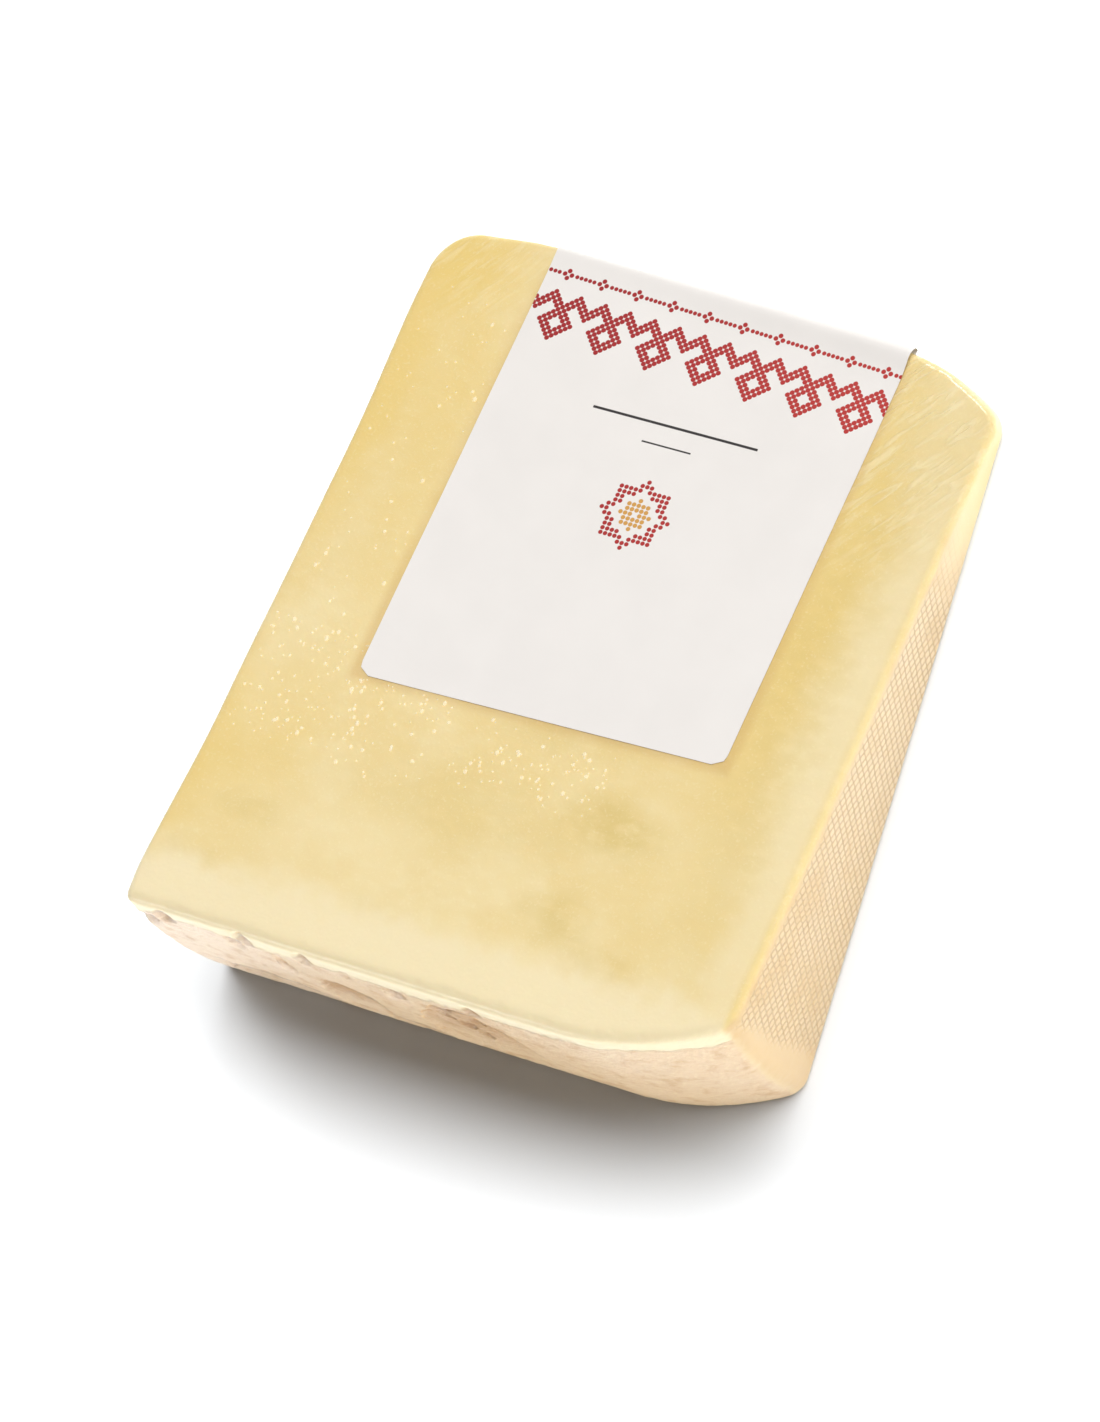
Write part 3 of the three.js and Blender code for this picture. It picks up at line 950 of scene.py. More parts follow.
@dataclass(frozen=True)
class DottedBorder:
    """A traditional border of round dots: a chain of small flowers over a zigzag hung with lozenges.

    The zigzag and the lozenges sit on a square lattice that stands on its corner. A half step is
    half the diagonal of one square.
    """

    first_peak: tuple[float, float] = (29.4, 15.5)
    tilt: float = math.radians(2.4)
    half_step: float = 0.718
    dot: float = 0.53
    lozenge_at: tuple[float, float] = (4.0, 9.0)
    chain_at: tuple[float, float] = (0.65, -4.1)
    chain_every: float = 8.15
    chain_dots: tuple[float, ...] = (2.075, 3.075, 4.075)
    chain_dot: float = 0.44
    petal_at: float = 0.8
    petal: float = 0.5
    soft: float = 0.06

    def print_mask(self, across: Field, down: Field) -> Field:
        """Gives 1 on the printed dots and 0 between them.

        Args:
            across: the place on the sheet, from the flat cut.
            down: the place on the sheet, from the wheel's axis.

        Returns:
            The mask.
        """
        from_peak = across - self.first_peak[0]
        below_peak = down - self.first_peak[1]
        cosine, sine = math.cos(self.tilt), math.sin(self.tilt)
        x = from_peak * cosine + below_peak * sine
        y = below_peak * cosine - from_peak * sine
        return self.lattice_mask(x, y).math("MAXIMUM", self.chain_mask(x, y))

    def lattice_mask(self, x: Field, y: Field) -> Field:
        """Gives 1 on the dots of the zigzag and of the lozenges under it."""
        half = self.half_step
        rising = ((x + y) / (2 * half)).math("ROUND")
        falling = ((x - y) / (2 * half)).math("ROUND")
        column = rising + falling
        row = rising - falling
        off_dot = (x - column * half).far(y - row * half, 0.0, 0.0)
        inside = off_dot.step(self.dot + self.soft, self.dot - self.soft)
        below_zigzag = row - column.math("PINGPONG", 4.0)
        zigzag = (below_zigzag - 1.0).away().math("COMPARE", 1.0, 0.1)
        from_middle = (column - self.lozenge_at[0] + 8.0).math("WRAP", 16.0, 0.0) - 8.0
        ring = from_middle.away() + (row - self.lozenge_at[1]).away()
        lozenge = (ring - 4.0).away().math("COMPARE", 1.0, 0.1)
        return inside * zigzag.math("MAXIMUM", lozenge)

    def chain_mask(self, x: Field, y: Field) -> Field:
        """Gives 1 on the chain of flowers and dots."""
        every = self.chain_every
        along = ((x - self.chain_at[0] + every / 2).math("WRAP", every, 0.0) - every / 2).away()
        up = (y - self.chain_at[1]).away()
        mask = along.far(up, self.petal_at, 0.0).step(self.petal + self.soft, self.petal - self.soft)
        top = along.far(up, 0.0, self.petal_at).step(self.petal + self.soft, self.petal - self.soft)
        mask = mask.math("MAXIMUM", top)
        for place in self.chain_dots:
            dot = along.far(up, place, 0.0).step(self.chain_dot + self.soft, self.chain_dot - self.soft)
            mask = mask.math("MAXIMUM", dot)
        return mask


@dataclass(frozen=True)
class DottedStar:
    """A plain eight-pointed star of round dots, as old needlework has: a square laid over a lozenge."""

    middle: tuple[float, float] = (66.5, 57.0)
    pitch: float = 1.05
    dot: float = 0.47
    size: float = 5.6
    soft: float = 0.05

    def masks(self, across: Field, down: Field) -> tuple[Field, Field]:
        """Gives 1 on the dots of the outline, and 1 on the dots inside it."""
        x = (across - self.middle[0]) / self.pitch
        y = (down - self.middle[1]) / self.pitch
        column, row = x.math("ROUND"), y.math("ROUND")
        limit, soft = self.dot / self.pitch, self.soft / self.pitch
        dots = (x - column).far(y - row, 0.0, 0.0).step(limit + soft, limit - soft)
        square = column.away().math("MAXIMUM", row.away())
        lozenge = (column.away() + row.away()) / 1.4
        reach = square.math("MINIMUM", lozenge)
        outline = (reach - (self.size - 1.1)).away().math("LESS_THAN", 0.75)
        inside = (reach - 1.2).away().math("LESS_THAN", 1.15)
        return dots * outline, dots * inside


@dataclass(frozen=True)
class Rule:
    """A thin straight rule across the label."""

    down: float
    across: tuple[float, float]
    thick: float

    def mask(self, across: Field, down: Field) -> Field:
        """Gives 1 on the rule."""
        middle, half = sum(self.across) / 2, (self.across[1] - self.across[0]) / 2
        in_height = (down - self.down).away().step(self.thick / 2 + 0.04, self.thick / 2 - 0.04)
        return in_height * (across - middle).away().math("LESS_THAN", half)


@dataclass(frozen=True)
class PaperFinish:
    """Matt white label paper with red print."""

    paper: tuple = colour(246, 241, 236)
    paper_shade: tuple = colour(241, 236, 231)
    print_left: tuple = colour(160, 14, 22)
    # the print at the right end, made lighter and more orange by a painted sheen
    print_right_with_sheen: tuple = colour(186, 44, 40)
    gold: tuple = colour(214, 160, 84)
    black: tuple = colour(48, 44, 44)
    roughness: float = 0.55
    gloss: float = 0.2
    border: DottedBorder = DottedBorder()
    star: DottedStar = DottedStar()
    rules: tuple[Rule, ...] = (Rule(37.2, (48.0, 85.0), 0.55), Rule(41.6, (61.0, 72.0), 0.35))

    def material(self) -> bpy.types.Material:
        """Builds the material on the label's own flat sheet."""
        sheet = NodeSheet("label_paper")
        across, down = sheet.sheet_place("sheet")
        place = sheet.place()
        clouds = sheet.noise(place, 14.0, 2.0).step(0.3, 0.7)
        fibres = sheet.noise(place, 0.35, 3.0)
        paper = sheet.mix(clouds * 0.5 + fibres * 0.2, self.paper, self.paper_shade)
        # painted sheen: the red print grows lighter and more orange towards the right end
        ink_with_sheen = sheet.mix(across.step(30.0, 105.0), self.print_left, self.print_right_with_sheen)
        outline, inside = self.star.masks(across, down)
        red = self.border.print_mask(across, down).math("MAXIMUM", outline)
        printed = sheet.mix(red * 0.98, paper, ink_with_sheen)
        printed = sheet.mix(inside, printed, self.gold)
        for rule in self.rules:
            printed = sheet.mix(rule.mask(across, down), printed, self.black)
        sheet.set(Base_Color=printed, Roughness=self.roughness)
        sheet.shader.inputs["Specular IOR Level"].default_value = self.gloss
        sheet.bump(fibres * 0.02 + sheet.noise(place, 6.0, 2.0) * 0.12, 0.6)
        return sheet.material


@dataclass(frozen=True)
class FilmFinish:
    """Clear film: it shows only by what it reflects."""

    roughness: float = 0.14
    ior: float = 1.42
    most: float = 0.2

    def material(self) -> bpy.types.Material:
        """Builds a mirror that is as solid as clear plastic reflects."""
        sheet = NodeSheet("clear_film")
        place = sheet.place()
        gloss = sheet.tree.nodes.new("ShaderNodeFresnel")
        gloss.inputs["IOR"].default_value = self.ior
        reflected = Field(sheet.tree, gloss.outputs[0]).math("MINIMUM", self.most)
        sheet.set(Base_Color=(1.0, 1.0, 1.0, 1.0), Metallic=1.0, Roughness=self.roughness, Alpha=reflected)
        creases = sheet.noise(place, 3.5, 2.0) * 0.16 + sheet.noise(place, 0.7, 2.0) * 0.06
        sheet.bump(creases, 1.0)
        return sheet.material


@dataclass(frozen=True)
class BubbleFinish:
    """Tiny blisters of air under the film, painted white for the light that they reflect, so that they show
    as white specks.
    """

    # painted reflection: the white that the blisters' air shows
    white: tuple = colour(253, 243, 214)
    roughness: float = 0.4
    solid: float = 0.6

    def material(self) -> bpy.types.Material:
        """Builds the material, most solid where a blister turns away from its base."""
        sheet = NodeSheet("film_blisters")
        rise = sheet.attribute("rise")
        sheet.set(Base_Color=self.white, Roughness=self.roughness, Alpha=rise.step(0.05, 0.8) * self.solid)
        return sheet.material


@dataclass(frozen=True)
class FloorFinish:
    """A plain pale studio floor, a little cool so that the warm light off the cheese looks grey on it."""

    pale: tuple = (0.49, 0.5, 0.51, 1.0)

    def material(self) -> bpy.types.Material:
        """Builds the material."""
        sheet = NodeSheet("studio_floor")
        sheet.set(Base_Color=self.pale, Roughness=0.9)
        sheet.shader.inputs["Specular IOR Level"].default_value = 0.0
        return sheet.material


# ---------------------------------------------------------------- the cheese


@dataclass(frozen=True)
class Cheese:
    """The wedge itself: paste, rind and the cloth-marked flat end of the wheel.

    The fields that end in `from` say where a colour sets in, in wedge measures.
    """

    steps: tuple[int, int, int] = (72, 88, 32)
    crowding: tuple[float, float, float] = (0.3, 0.2, 0.15)
    under_film: float = -0.07
    ragged: float = 1.1
    rind_from: float = 6.0
    cream_from: tuple[float, float] = (145.0, 154.0)
    strip_from: tuple[float, float] = (119.0, 126.0)
    strip_top_from: tuple[float, float] = (20.0, 60.0)
    tan_from: tuple[float, float] = (30.0, 52.0)
    stain_from: tuple[float, float] = (80.0, 140.0)
    finish: CheeseFinish = CheeseFinish()

    def model(self, placing: Placing) -> bpy.types.Object:
        """Models the cheese.

        Args:
            placing: where the wedge is in the part's frame.

        Returns:
            The finished piece.
        """
        piece = lattice_cube("cheese_paste_and_rind", self.steps)
        self.refine(piece)
        mesh = piece.data
        shares = crowd(coordinates(mesh), self.crowding)
        sharp = FORM.lattice_place(shares)
        skin = FORM.settle(sharp, self.under_film, ragged=self.ragged)
        slope = FORM.slope(skin, ragged=self.ragged)
        outwards = slope / np.linalg.norm(slope, axis=1, keepdims=True)
        skin = skin - self.relief(skin)[:, None] * outwards
        move_vertices(mesh, placing.to_frame(skin))
        self.store_numbers(mesh, skin)
        close_up(piece)
        dress(piece, self.finish.material(placing), "cheese", "cheese")
        return piece

    def refine(self, piece: bpy.types.Object) -> None:
        """Cuts the lattice finer where detail shows: first all that is seen, then the rind and the front's
        edges next to the rind and the flat end.
        """
        label = (0.22, 0.79, 0.58)
        for rounds in range(2):
            across, drop, depth = face_middles(piece.data).T
            under_label = (across > label[0]) & (across < label[1]) & (drop < label[2])
            rind = drop > 1 - 1e-6
            flat_end = across > 1 - 1e-6
            front = depth > 1 - 1e-6
            rim = (drop > 0.96) | (across > 0.985)
            if rounds == 0:
                seen = (front & ~under_label) | rind | flat_end | ((drop < 1e-6) & ~under_label)
                chosen = seen | (drop > 0.97) | (across > 0.97) | ((across < 1e-6) & (depth > 0.93))
            else:
                chosen = (rind & (across > 0.01)) | (front & rim & (across > 0.01))
            subdivide(piece, Part.FACES, chosen, 1)

    def rind_share(self, points: np.ndarray) -> np.ndarray:
        """Gives how far each point belongs to the round rind."""
        inwards = FORM.rind_at(points[:, 0]) - np.hypot(points[:, 1], points[:, 2])
        return smooth_step(3.2, 1.2, inwards)

    def flat_end_share(self, points: np.ndarray) -> np.ndarray:
        """Gives how far each point belongs to the wheel's flat end."""
        return smooth_step(2.4, 0.9, FORM.end_at(points[:, 2]) - points[:, 0])

    def relief(self, points: np.ndarray) -> np.ndarray:
        """Gives how far the fine detail goes in from the smooth form.

        Args:
            points: rows of wedge measures, on the smooth form.

        Returns:
            A depth for each point.
        """
        rind = self.rind_share(points)
        crags = np.maximum(rough_bumps(points, 3.0, 41), 0.0) ** 1.5
        crumb = rough_bumps(points, 1.3, 51, 2)
        waves = 0.5 + 0.5 * bumps(points, 9.0, 61)
        on_floor = smooth_step(0.0, 3.0, points[:, 2])
        worn = smooth_step(0.3, 1.2, FORM.wear(points, self.ragged))
        depth = rind * (0.6 * crags + 0.1 * (crumb + 1.0) + 0.4 * worn * (0.6 + crumb)) * on_floor
        return depth + (1.0 - rind) * 0.05 * waves * on_floor

    def store_numbers(self, mesh: bpy.types.Mesh, points: np.ndarray) -> None:
        """Stores at each vertex the numbers that the finish mixes its colours by."""
        along = points[:, 0]
        radial, depth = FORM.along_front(points), FORM.under_front(points)
        round_ = FORM.round_from_front(points)
        height = points[:, 2]
        rind = self.rind_share(points)
        flat_end = self.flat_end_share(points)
        stray = rough_bumps(points, 7.0, 71)
        jagged = rough_bumps(points, 2.2, 76)
        edge_at = self.rind_from + 2.4 * stray + 1.3 * jagged
        rind_cover = rind * smooth_step(-0.6, 0.6, round_ - edge_at) * (1.0 - flat_end)
        add_attribute(mesh, "rind", rind_cover)
        add_attribute(mesh, "right", smooth_step(8.0, 62.0, along + 10 * stray))
        # Painted shade along the rounded edge between the front cut face and the flat end: the paste there is
        # darkened and kept out of the pale cream.
        painted_edge_shade = smooth_step(2.6, 1.2, FORM.end_at(height) - along) * smooth_step(3.5, 1.5, depth)
        shifted = along + 3.0 * stray, radial + 3.0 * rough_bumps(points, 9.0, 86)
        for name, patches in (("gold", GOLDEN), ("pale", PALE), ("smudge_and_edge_shade", SMUDGES)):
            cover = 1.0 - np.prod([1.0 - patch.cover(*shifted) for patch in patches], axis=0)
            if name == "smudge_and_edge_shade":
                cover = np.maximum(cover, 0.3 * painted_edge_shade)
            add_attribute(mesh, name, cover)
        band = smooth_step(*self.cream_from, radial + 4 * stray + 2 * jagged)
        strip = smooth_step(*self.strip_from, along + 3.0 * stray + jagged)
        strip = strip * smooth_step(*self.strip_top_from, radial)
        add_attribute(mesh, "cream", np.maximum(band, 0.55 * strip) * (1.0 - painted_edge_shade))
        tan = smooth_step(0.4, 1.8, depth + 0.4 * stray) * smooth_step(*self.tan_from, radial + 4 * stray)
        add_attribute(mesh, "cloth", flat_end * tan)
        add_attribute(mesh, "lumps", flat_end * self.finish.cloth_mark.cover(points))
        # The flat end is coloured darker towards the rind.
        add_attribute(mesh, "end_darker_towards_rind", 0.45 * smooth_step(*self.stain_from, radial))
        worn = FORM.wear(points, self.ragged)
        # Painted shade: the deeper the rind is worn, the more it takes the darker brown.
        add_attribute(mesh, "pit", 0.85 * smooth_step(0.45, 1.1, worn) * rind)
        on_front = smooth_step(2.0, 0.5, depth)
        # Painted shadow of the label: the paste is darkened just outside its outline, fading over a few
        # millimetres.
        outside = FORM.off_label(points)
        near = smooth_step(2.6, -0.2, outside - 0.8 * smooth_step(60.0, 100.0, radial))
        add_attribute(mesh, "painted_label_shadow", 0.42 * near * near * on_front * smooth_step(9.0, 16.0, radial))
        # Where the film crinkles: the paste is roughened there and lightened with painted sheen.
        right = smooth_step(34.0, 8.0, np.hypot(along - 116.0, (radial - 24.0) * 0.8))
        left = smooth_step(26.0, 6.0, np.hypot(along - 10.0, radial - 8.0))
        add_attribute(mesh, "crinkle", np.maximum(right, 0.6 * left) * on_front)


# ---------------------------------------------------------------- the label


@dataclass(frozen=True)
class Label:
    """A paper label stuck on the film, folded over the thin edge, with a flap on each cut face."""

    gap: float = 0.03
    sheet: float = 0.05
    corner: float = 2.5
    ripple: float = 0.09
    flat_rim: float = 8.0
    fold_bulge: tuple[float, float] = (0.3, 1.3)
    fold_length: float = 9.0
    fold_heights: tuple[float, float] = (1.0, 1.6)
    steps_across: int = 60
    flap_steps: int = 70
    fold_steps: int = 14
    finish: PaperFinish = PaperFinish()

    def model(self, placing: Placing) -> bpy.types.Object:
        """Models the label.

        Args:
            placing: where the wedge is in the part's frame.

        Returns:
            The finished piece.
        """
        bpy.ops.object.select_all(action="DESELECT")
        path = self.flap_steps * 2 + self.fold_steps
        bpy.ops.mesh.primitive_grid_add(x_subdivisions=self.steps_across, y_subdivisions=path, size=2.0)
        piece = bpy.context.object
        piece.name = "label_paper"
        mesh = piece.data
        across, way = (coordinates(mesh)[:, :2].T + 1.0) / 2.0
        sheet = self.start_points(across, way * path)
        level = self.gap + self.stand_off(sheet)
        points = FORM.settle(sheet, level, worn=0.0)
        self.lay_out(mesh, points, across, way)
        move_vertices(mesh, placing.to_frame(points))
        self.thicken(piece)
        dress(piece, self.finish.material(), "label", "label")
        return piece

    def start_points(self, across: np.ndarray, step: np.ndarray) -> np.ndarray:
        """Lays the sheet's points beside the wedge: up the rear flap, round the fold, down the front.

        Args:
            across: the share across the sheet, 0 at its left edge.
            step: how many steps along the sheet, from the rear flap's free end.

        Returns:
            Rows of wedge measures, before they settle.
        """
        drop = FORM.label_drop + FORM.label_slant * (1.0 - 2.0 * across)
        rear = np.clip(1.0 - step / self.flap_steps, 0.0, 1.0)
        front = np.clip((step - self.flap_steps - self.fold_steps) / self.flap_steps, 0.0, 1.0)
        turn = np.clip((step - self.flap_steps) / self.fold_steps, 0.0, 1.0)
        far = np.maximum(rear, front) * drop
        inside = np.maximum(self.corner - (drop - far), 0.0)
        cut = self.corner - np.sqrt(np.maximum(self.corner**2 - inside**2, 0.0))
        along = FORM.label_left + cut + (FORM.label_width - 2.0 * cut) * across
        thin, share = FORM.thin_at(along), far / drop
        start, end = thin + FORM.nose_length, FORM.thin_edge_at + FORM.nose_length
        cosine, sine = math.cos(FORM.cut_angle), math.sin(FORM.cut_angle)
        low = thin * math.tan(FORM.cut_angle)
        front_down = start + (end + drop * cosine - start) * share
        front_up = low + (FORM.thin_edge + drop * sine - low) * share
        on_front = np.stack([along, front_down, front_up], axis=1)
        on_rear = np.stack([along, start + (end + drop - start) * share, np.zeros(len(along))], axis=1)
        on_fold = FORM.nose_start(along, turn)
        flat = np.where((front > 0)[:, None], on_front, on_rear)
        return np.where(((front == 0) & (rear == 0))[:, None], on_fold, flat)

    def stand_off(self, points: np.ndarray) -> np.ndarray:
        """Gives how far the sheet stands off the film: in slow ripples, and where its fold isn't tight."""
        inside = smooth_step(0.0, self.flat_rim, -FORM.off_label(points))
        inside = inside * smooth_step(12.0, 26.0, FORM.along_front(points))
        share = (points[:, 0] - FORM.label_left) / FORM.label_width
        bulge = self.fold_bulge[0] + (self.fold_bulge[1] - self.fold_bulge[0]) * share
        past_fold = points[:, 1] - FORM.thin_at(points[:, 0])
        at_fold = smooth_step(self.fold_length, -0.5, past_fold) ** 2
        at_fold = at_fold * smooth_step(*self.fold_heights, points[:, 2])
        return self.ripple * (1.0 + bumps(points, 22.0, 91)) * inside + bulge * at_fold

    def lay_out(self, mesh: bpy.types.Mesh, points: np.ndarray, across: np.ndarray, way: np.ndarray) -> None:
        """Writes the sheet's flat measures as a UV map in millimetres."""
        rows = self.flap_steps * 2 + self.fold_steps
        row = np.rint(way * rows).astype(int)
        column = np.rint(across * self.steps_across).astype(int)
        grid = np.zeros((rows + 1, self.steps_across + 1, 3))
        grid[row, column] = points
        lengths = np.linalg.norm(np.diff(grid, axis=0), axis=2)
        travelled = np.concatenate([np.zeros((1, self.steps_across + 1)), np.cumsum(lengths, axis=0)])
        first_front = self.flap_steps + self.fold_steps
        anchor = FORM.along_front(grid[first_front]) - travelled[first_front]
        flat_down = (travelled + anchor)[row, column]
        corners = np.empty(len(mesh.loops), dtype=np.int32)
        mesh.loops.foreach_get("vertex_index", corners)
        flat = np.stack([points[:, 0], flat_down], axis=1)[corners]
        mesh.uv_layers[0].name = "sheet"
        mesh.uv_layers[0].data.foreach_set("uv", flat.ravel())

    def thicken(self, piece: bpy.types.Object) -> None:
        """Points the sheet outwards and gives it the thickness of paper."""
        only_select(piece)
        bpy.ops.object.transform_apply(location=True, rotation=True, scale=True)
        middle = piece.data.polygons[len(piece.data.polygons) - self.steps_across // 2]
        if middle.normal.z < 0:
            bpy.ops.object.mode_set(mode="EDIT")
            bpy.ops.mesh.select_all(action="SELECT")
            bpy.ops.mesh.flip_normals()
            bpy.ops.object.mode_set(mode="OBJECT")
        wall = piece.modifiers.new("paper", "SOLIDIFY")
        wall.thickness = self.sheet * METRES
        wall.offset = 1.0
        wall.use_even_offset = True
        bpy.ops.object.modifier_apply(modifier=wall.name)
        bpy.ops.object.shade_smooth_by_angle(angle=math.radians(50))


# ---------------------------------------------------------------- the film


@dataclass(frozen=True)
class Film:
    """The clear film, drawn tight on the cheese, with creases at the corners."""

    steps: tuple[int, int, int] = (96, 98, 34)
    crowding: tuple[float, float, float] = (0.3, 0.35, 0.3)
    sucked_in: float = 0.8
    ragged: float = 1.1
    left_corner: tuple[float, float] = (8.0, 8.0)
    right_corner: tuple[float, float] = (114.0, 20.0)
    crease_height: float = 0.22
    bead_height: float = 0.25
    finish: FilmFinish = FilmFinish()

    def model(self, placing: Placing) -> bpy.types.Object:
        """Models the film.

        Args:
            placing: where the wedge is in the part's frame.

        Returns:
            The finished piece.
        """
        piece = lattice_cube("film_clear", self.steps)
        mesh = piece.data
        shares = crowd(coordinates(mesh), self.crowding)
        drawn = {"worn": self.sucked_in, "ragged": self.ragged}
        skin = FORM.settle(FORM.lattice_place(shares), 0.0, **drawn)
        slope = FORM.slope(skin, **drawn)
        outwards = slope / np.linalg.norm(slope, axis=1, keepdims=True)
        skin = skin + self.creases(skin)[:, None] * outwards
        move_vertices(mesh, placing.to_frame(skin))
        close_up(piece)
        dress(piece, self.finish.material(), "film")
        return piece

    def creases(self, points: np.ndarray) -> np.ndarray:
        """Gives how far the film's creases stand off, strongest at the thin edge's corners."""
        along, radial = points[:, 0], FORM.along_front(points)
        (left_along, left_radial), (right_along, right_radial) = self.left_corner, self.right_corner
        left = smooth_step(30.0, 4.0, np.hypot(along - left_along, radial - left_radial))
        right = smooth_step(30.0, 6.0, np.hypot(along - right_along, radial - right_radial))
        right = right * smooth_step(127.0, 121.0, along)
        drawn_out = np.stack([along + radial, (along - radial) / 5.0, points[:, 2] / 2.0], axis=1)
        ridges = 1.0 - np.abs(bumps(drawn_out, 2.2, 101))
        folded = np.maximum(ridges - 0.55, 0.0) / 0.45
        beads = np.maximum(bumps(points, 1.6, 106), 0.0) * smooth_step(13.0, 8.0, radial)
        free = smooth_step(0.5, 2.5, FORM.off_label(points)) * smooth_step(0.0, 2.0, points[:, 2])
        return (self.crease_height * folded * np.maximum(left, right) + self.bead_height * beads) * free


@dataclass(frozen=True)
class Swarm:
    """A cloud of blisters on the front cut face, between two places on it."""

    along: tuple[float, float]
    radial: tuple[float, float]
    count: int


@dataclass(frozen=True)
class Blisters:
    """Tiny blisters of air that the film holds against the front cut face."""

    swarms: tuple[Swarm, ...] = (
        Swarm((3.5, 32.0), (96.0, 123.0), 150),
        Swarm((24.0, 48.0), (104.5, 109.0), 30),
        Swarm((56.0, 86.0), (105.0, 120.0), 90),
        Swarm((4.0, 24.0), (20.0, 96.0), 60),
        Swarm((32.0, 60.0), (106.0, 125.0), 34),
    )
    radii: tuple[float, float] = (0.18, 0.52)
    flatness: float = 0.18
    seed: int = 7
    finish: BubbleFinish = BubbleFinish()

    def model(self, placing: Placing) -> bpy.types.Object:
        """Models one blister and copies it over the front cut face.

        Args:
            placing: where the wedge is in the part's frame.

        Returns:
            The finished piece.
        """
        bpy.ops.object.select_all(action="DESELECT")
        bpy.ops.mesh.primitive_ico_sphere_add(subdivisions=2, radius=1.0)
        piece = bpy.context.object
        piece.name = "film_blisters"
        self.halve(piece)
        dome = coordinates(piece.data)
        faces = np.array([tuple(polygon.vertices) for polygon in piece.data.polygons])
        places, sizes = self.scatter()
        slope = FORM.slope(places)
        normal = slope / np.linalg.norm(slope, axis=1, keepdims=True)
        side = np.tile([1.0, 0.0, 0.0], (len(places), 1))
        up = np.cross(normal, side)
        local = dome[None] * sizes[:, None]
        spread = local[..., 0:1] * side[:, None] + local[..., 1:2] * up[:, None]
        spread = spread + local[..., 2:3] * normal[:, None]
        points = (places[:, None] + spread).reshape(-1, 3)
        everywhere = (faces[None] + np.arange(len(places))[:, None, None] * len(dome)).reshape(-1, 3)
        mesh = bpy.data.meshes.new("film_blisters")
        mesh.from_pydata(placing.to_frame(points).tolist(), [], everywhere.tolist())
        add_attribute(mesh, "rise", np.tile(dome[:, 2], len(places)))
        piece.data = mesh
        only_select(piece)
        close_up(piece)
        dress(piece, self.finish.material(), "film")
        return piece

    def halve(self, piece: bpy.types.Object) -> None:
        """Cuts a ball down to a dome with a flat base."""
        bpy.ops.object.mode_set(mode="EDIT")
        bpy.ops.mesh.select_all(action="SELECT")
        bpy.ops.mesh.bisect(plane_co=(0, 0, -0.05), plane_no=(0, 0, 1), use_fill=True, clear_inner=True)
        bpy.ops.mesh.select_all(action="SELECT")
        bpy.ops.mesh.quads_convert_to_tris()
        bpy.ops.object.mode_set(mode="OBJECT")

    def scatter(self) -> tuple[np.ndarray, np.ndarray]:
        """Picks the blisters' places and sizes.

        Returns:
            Rows of wedge measures on the film, and each blister's three half sizes.
        """
        draw = np.random.default_rng(self.seed)
        along, radial = [], []
        for swarm in self.swarms:
            along.append(draw.uniform(*swarm.along, swarm.count))
            radial.append(draw.uniform(*swarm.radial, swarm.count))
        a, r = np.concatenate(along), np.concatenate(radial)
        starts = np.stack([a, r * math.cos(FORM.cut_angle), r * math.sin(FORM.cut_angle)], axis=1)
        places = FORM.settle(starts, 0.0)
        size = self.radii[0] + (self.radii[1] - self.radii[0]) * draw.random(len(a)) ** 2.5
        stretch = draw.uniform(0.8, 1.5, len(a))
        return places, np.stack([size, size * stretch, size * self.flatness], axis=1)


# ---------------------------------------------------------------- the studio


class Lit(Enum):
    """What a light shines on, or what casts its shadows."""

    MATT = "matt pieces"
    SOLID = "cheese and label"
    FILM = "film"
    FLOOR = "floor"


@dataclass(frozen=True)
class SoftLight:
    """A distant soft light. `towards` points at it, and `spread` is how wide it looks.

    Only the pieces named by `blocked_by` cast its shadows, or all of them where that is None.
    """

    name: str
    towards: tuple[float, float, float]
    strength: float
    spread: float
    lit: Lit
    blocked_by: Lit | None = None

    def build(self, collections: dict[Lit, bpy.types.Collection]) -> None:
        """Adds the light.

        Args:
            collections: the objects of each kind, to be lit or to cast shadows.
        """
        data = bpy.data.lights.new(self.name, "SUN")
        data.energy = self.strength
        data.angle = math.radians(self.spread)
        light = bpy.data.objects.new(self.name, data)
        light.rotation_euler = (-Vector(self.towards)).to_track_quat("-Z", "Y").to_euler()
        bpy.context.scene.collection.objects.link(light)
        light.light_linking.receiver_collection = collections[self.lit]
        if self.blocked_by is not None:
            light.light_linking.blocker_collection = collections[self.blocked_by]


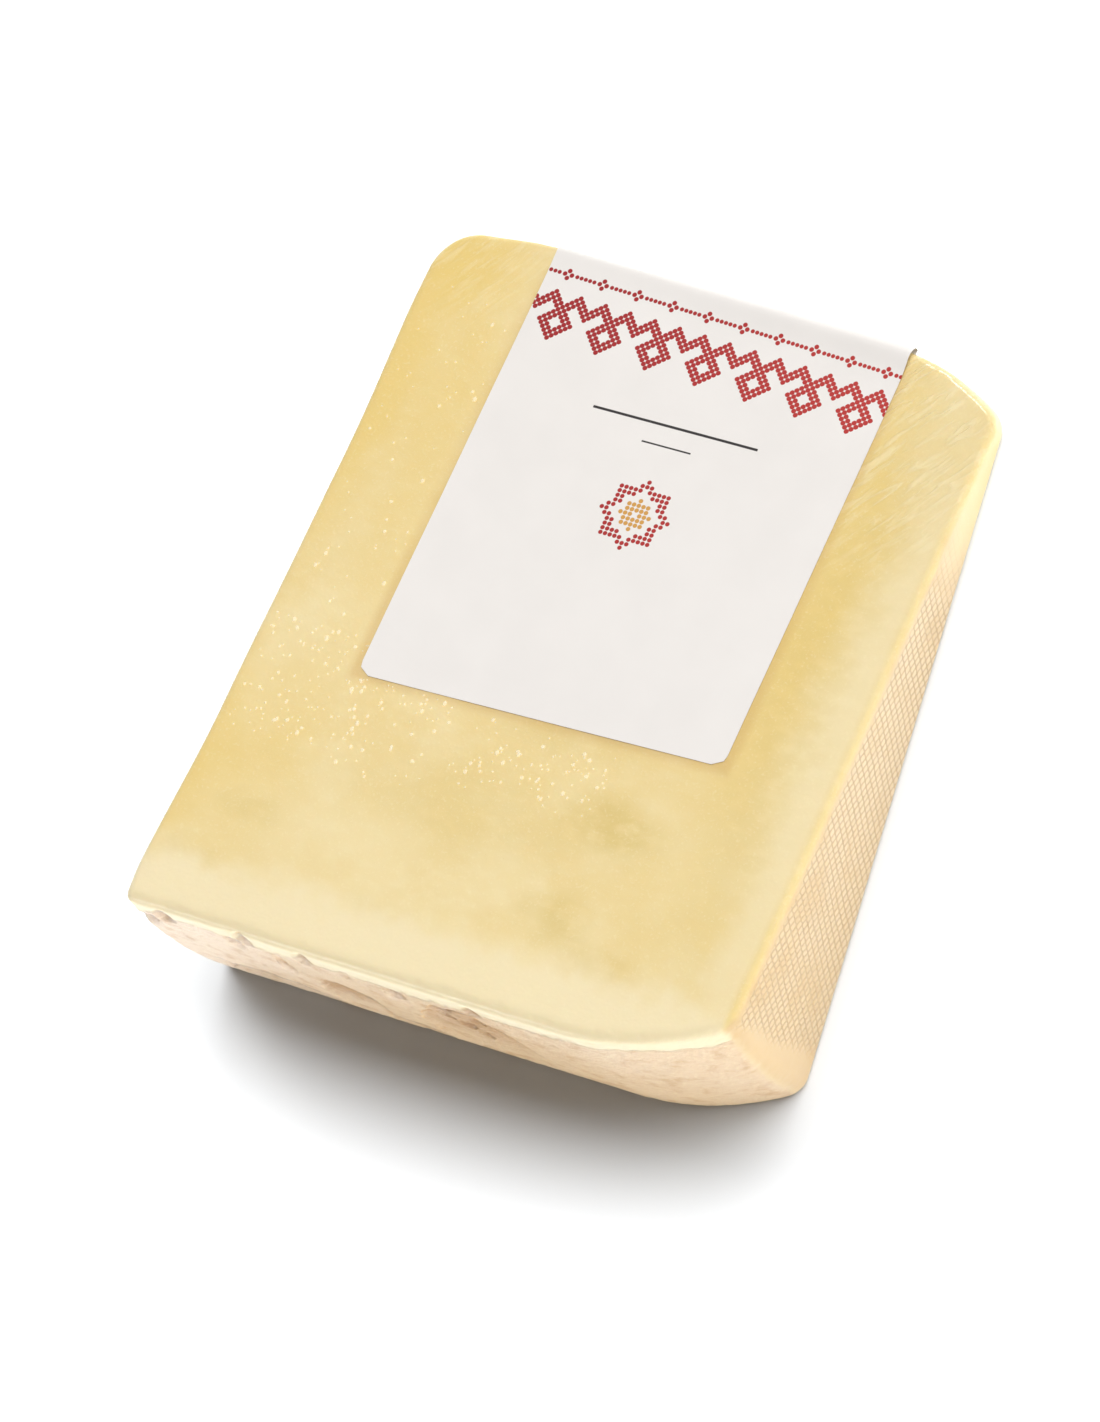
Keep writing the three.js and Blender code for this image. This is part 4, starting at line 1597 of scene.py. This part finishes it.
@dataclass(frozen=True)
class Studio:
    """A plain white floor under a large soft light, with weak fills on the wedge's shaded sides."""

    floor_size: float = 8.0
    floor_below: float = 0.00006
    sky: float = 0.1
    seen_sky: float = 1.0
    lights: tuple[SoftLight, ...] = (
        SoftLight("overhead", (0.1, 0.6, 0.79), 2.52, 50.0, Lit.MATT, Lit.SOLID),
        SoftLight("strip_far_left", (-0.641, 0.466, 0.609), 2.4, 36.0, Lit.FLOOR),
        SoftLight("strip_left", (-0.257, 0.587, 0.767), 3.06, 42.0, Lit.FLOOR),
        SoftLight("strip_middle", (0.072, 0.606, 0.792), 3.4, 44.0, Lit.FLOOR),
        SoftLight("strip_right", (0.393, 0.559, 0.73), 3.06, 42.0, Lit.FLOOR),
        SoftLight("strip_far_right", (0.696, 0.436, 0.57), 1.9, 34.0, Lit.FLOOR),
        SoftLight("floor_wash", (0.0, 0.0, 1.0), 0.15, 20.0, Lit.FLOOR, Lit.FLOOR),
        SoftLight("rind_fill", (0.15, -0.95, 0.1), 1.6, 80.0, Lit.MATT, Lit.SOLID),
        SoftLight("flat_end_fill", (0.95, 0.1, -0.1), 0.84, 80.0, Lit.MATT, Lit.SOLID),
        SoftLight("film_glints_above", (-0.2, 0.9, 0.38), 1.0, 14.0, Lit.FILM),
        SoftLight("film_glints_rind", (-0.44, -0.76, 0.45), 0.4, 20.0, Lit.FILM),
    )
    finish: FloorFinish = FloorFinish()

    def build(
        self, solid: list[bpy.types.Object], blisters: bpy.types.Object, film: bpy.types.Object
    ) -> None:
        """Builds the floor, the lights and the sky.

        Args:
            solid: the cheese and the label, which cast the shadows on each other.
            blisters: the blisters, which are lit like them but cast no shadow on them.
            film: the clear film, which reflects the sky and has small glints.
        """
        bpy.ops.object.select_all(action="DESELECT")
        bpy.ops.mesh.primitive_plane_add(size=self.floor_size, location=(0.0, 0.0, -self.floor_below))
        floor = bpy.context.object
        floor.name = "studio_floor"
        floor.data.materials.append(self.finish.material())
        groups = {Lit.MATT: [*solid, blisters], Lit.SOLID: solid, Lit.FILM: [film], Lit.FLOOR: [floor]}
        collections = {}
        for lit, pieces in groups.items():
            collections[lit] = bpy.data.collections.new(lit.value)
            for piece in pieces:
                collections[lit].objects.link(piece)
        for light in self.lights:
            light.build(collections)
        self.build_sky()
        bpy.context.scene.view_settings.view_transform = "Standard"

    def build_sky(self) -> None:
        """Makes a white sky that lights matt surfaces weakly, so that the shadow stays deep."""
        world = bpy.data.worlds.new("studio")
        world.use_nodes = True
        tree = world.node_tree
        background = tree.nodes["Background"]
        background.inputs["Color"].default_value = (1.0, 1.0, 1.0, 1.0)
        path = tree.nodes.new("ShaderNodeLightPath")
        weak = Field(tree, path.outputs["Is Diffuse Ray"])
        connect(tree, background.inputs["Strength"], weak * (self.sky - self.seen_sky) + self.seen_sky)
        bpy.context.scene.world = world


@dataclass(frozen=True)
class Camera:
    """The photograph's view: from above, turned so that the thin edge is at the top."""

    target: tuple[float, float, float] = (-0.00066, -0.01194, 0.024)
    azimuth: float = math.radians(-2.931)
    elevation: float = math.radians(63.573)
    roll: float = math.radians(-70.545)
    distance: float = 1.5965
    lens: float = 208.28
    sensor: float = 36.0

    def build(self) -> None:
        """Adds the camera. Its sensor width belongs to the picture's long side."""
        data = bpy.data.cameras.new("camera")
        data.lens = self.lens
        data.sensor_width = self.sensor
        camera = bpy.data.objects.new("camera", data)
        level = math.cos(self.elevation)
        x, y = level * math.cos(self.azimuth), level * math.sin(self.azimuth)
        back = Vector((x, y, math.sin(self.elevation)))
        turned = Matrix.Rotation(self.roll, 4, back) @ (-back).to_track_quat("-Z", "Y").to_matrix().to_4x4()
        camera.matrix_world = Matrix.Translation(Vector(self.target) + back * self.distance) @ turned
        bpy.context.scene.collection.objects.link(camera)
        bpy.context.scene.camera = camera


def main() -> None:
    """Builds the wedge, its film and label, and the studio round them."""
    logging.basicConfig(level=logging.INFO, format="%(message)s")
    Camera().build()
    placing = Placing.from_frame()
    offset = tuple(round(measure, 3) for measure in placing.offset)
    LOG.info("the flat cut and the wheel's axis are at %s mm", offset)
    cheese, film, blisters, label = (part.model(placing) for part in (Cheese(), Film(), Blisters(), Label()))
    Studio().build([cheese, label], blisters, film)


if __name__ == "__main__":
    main()
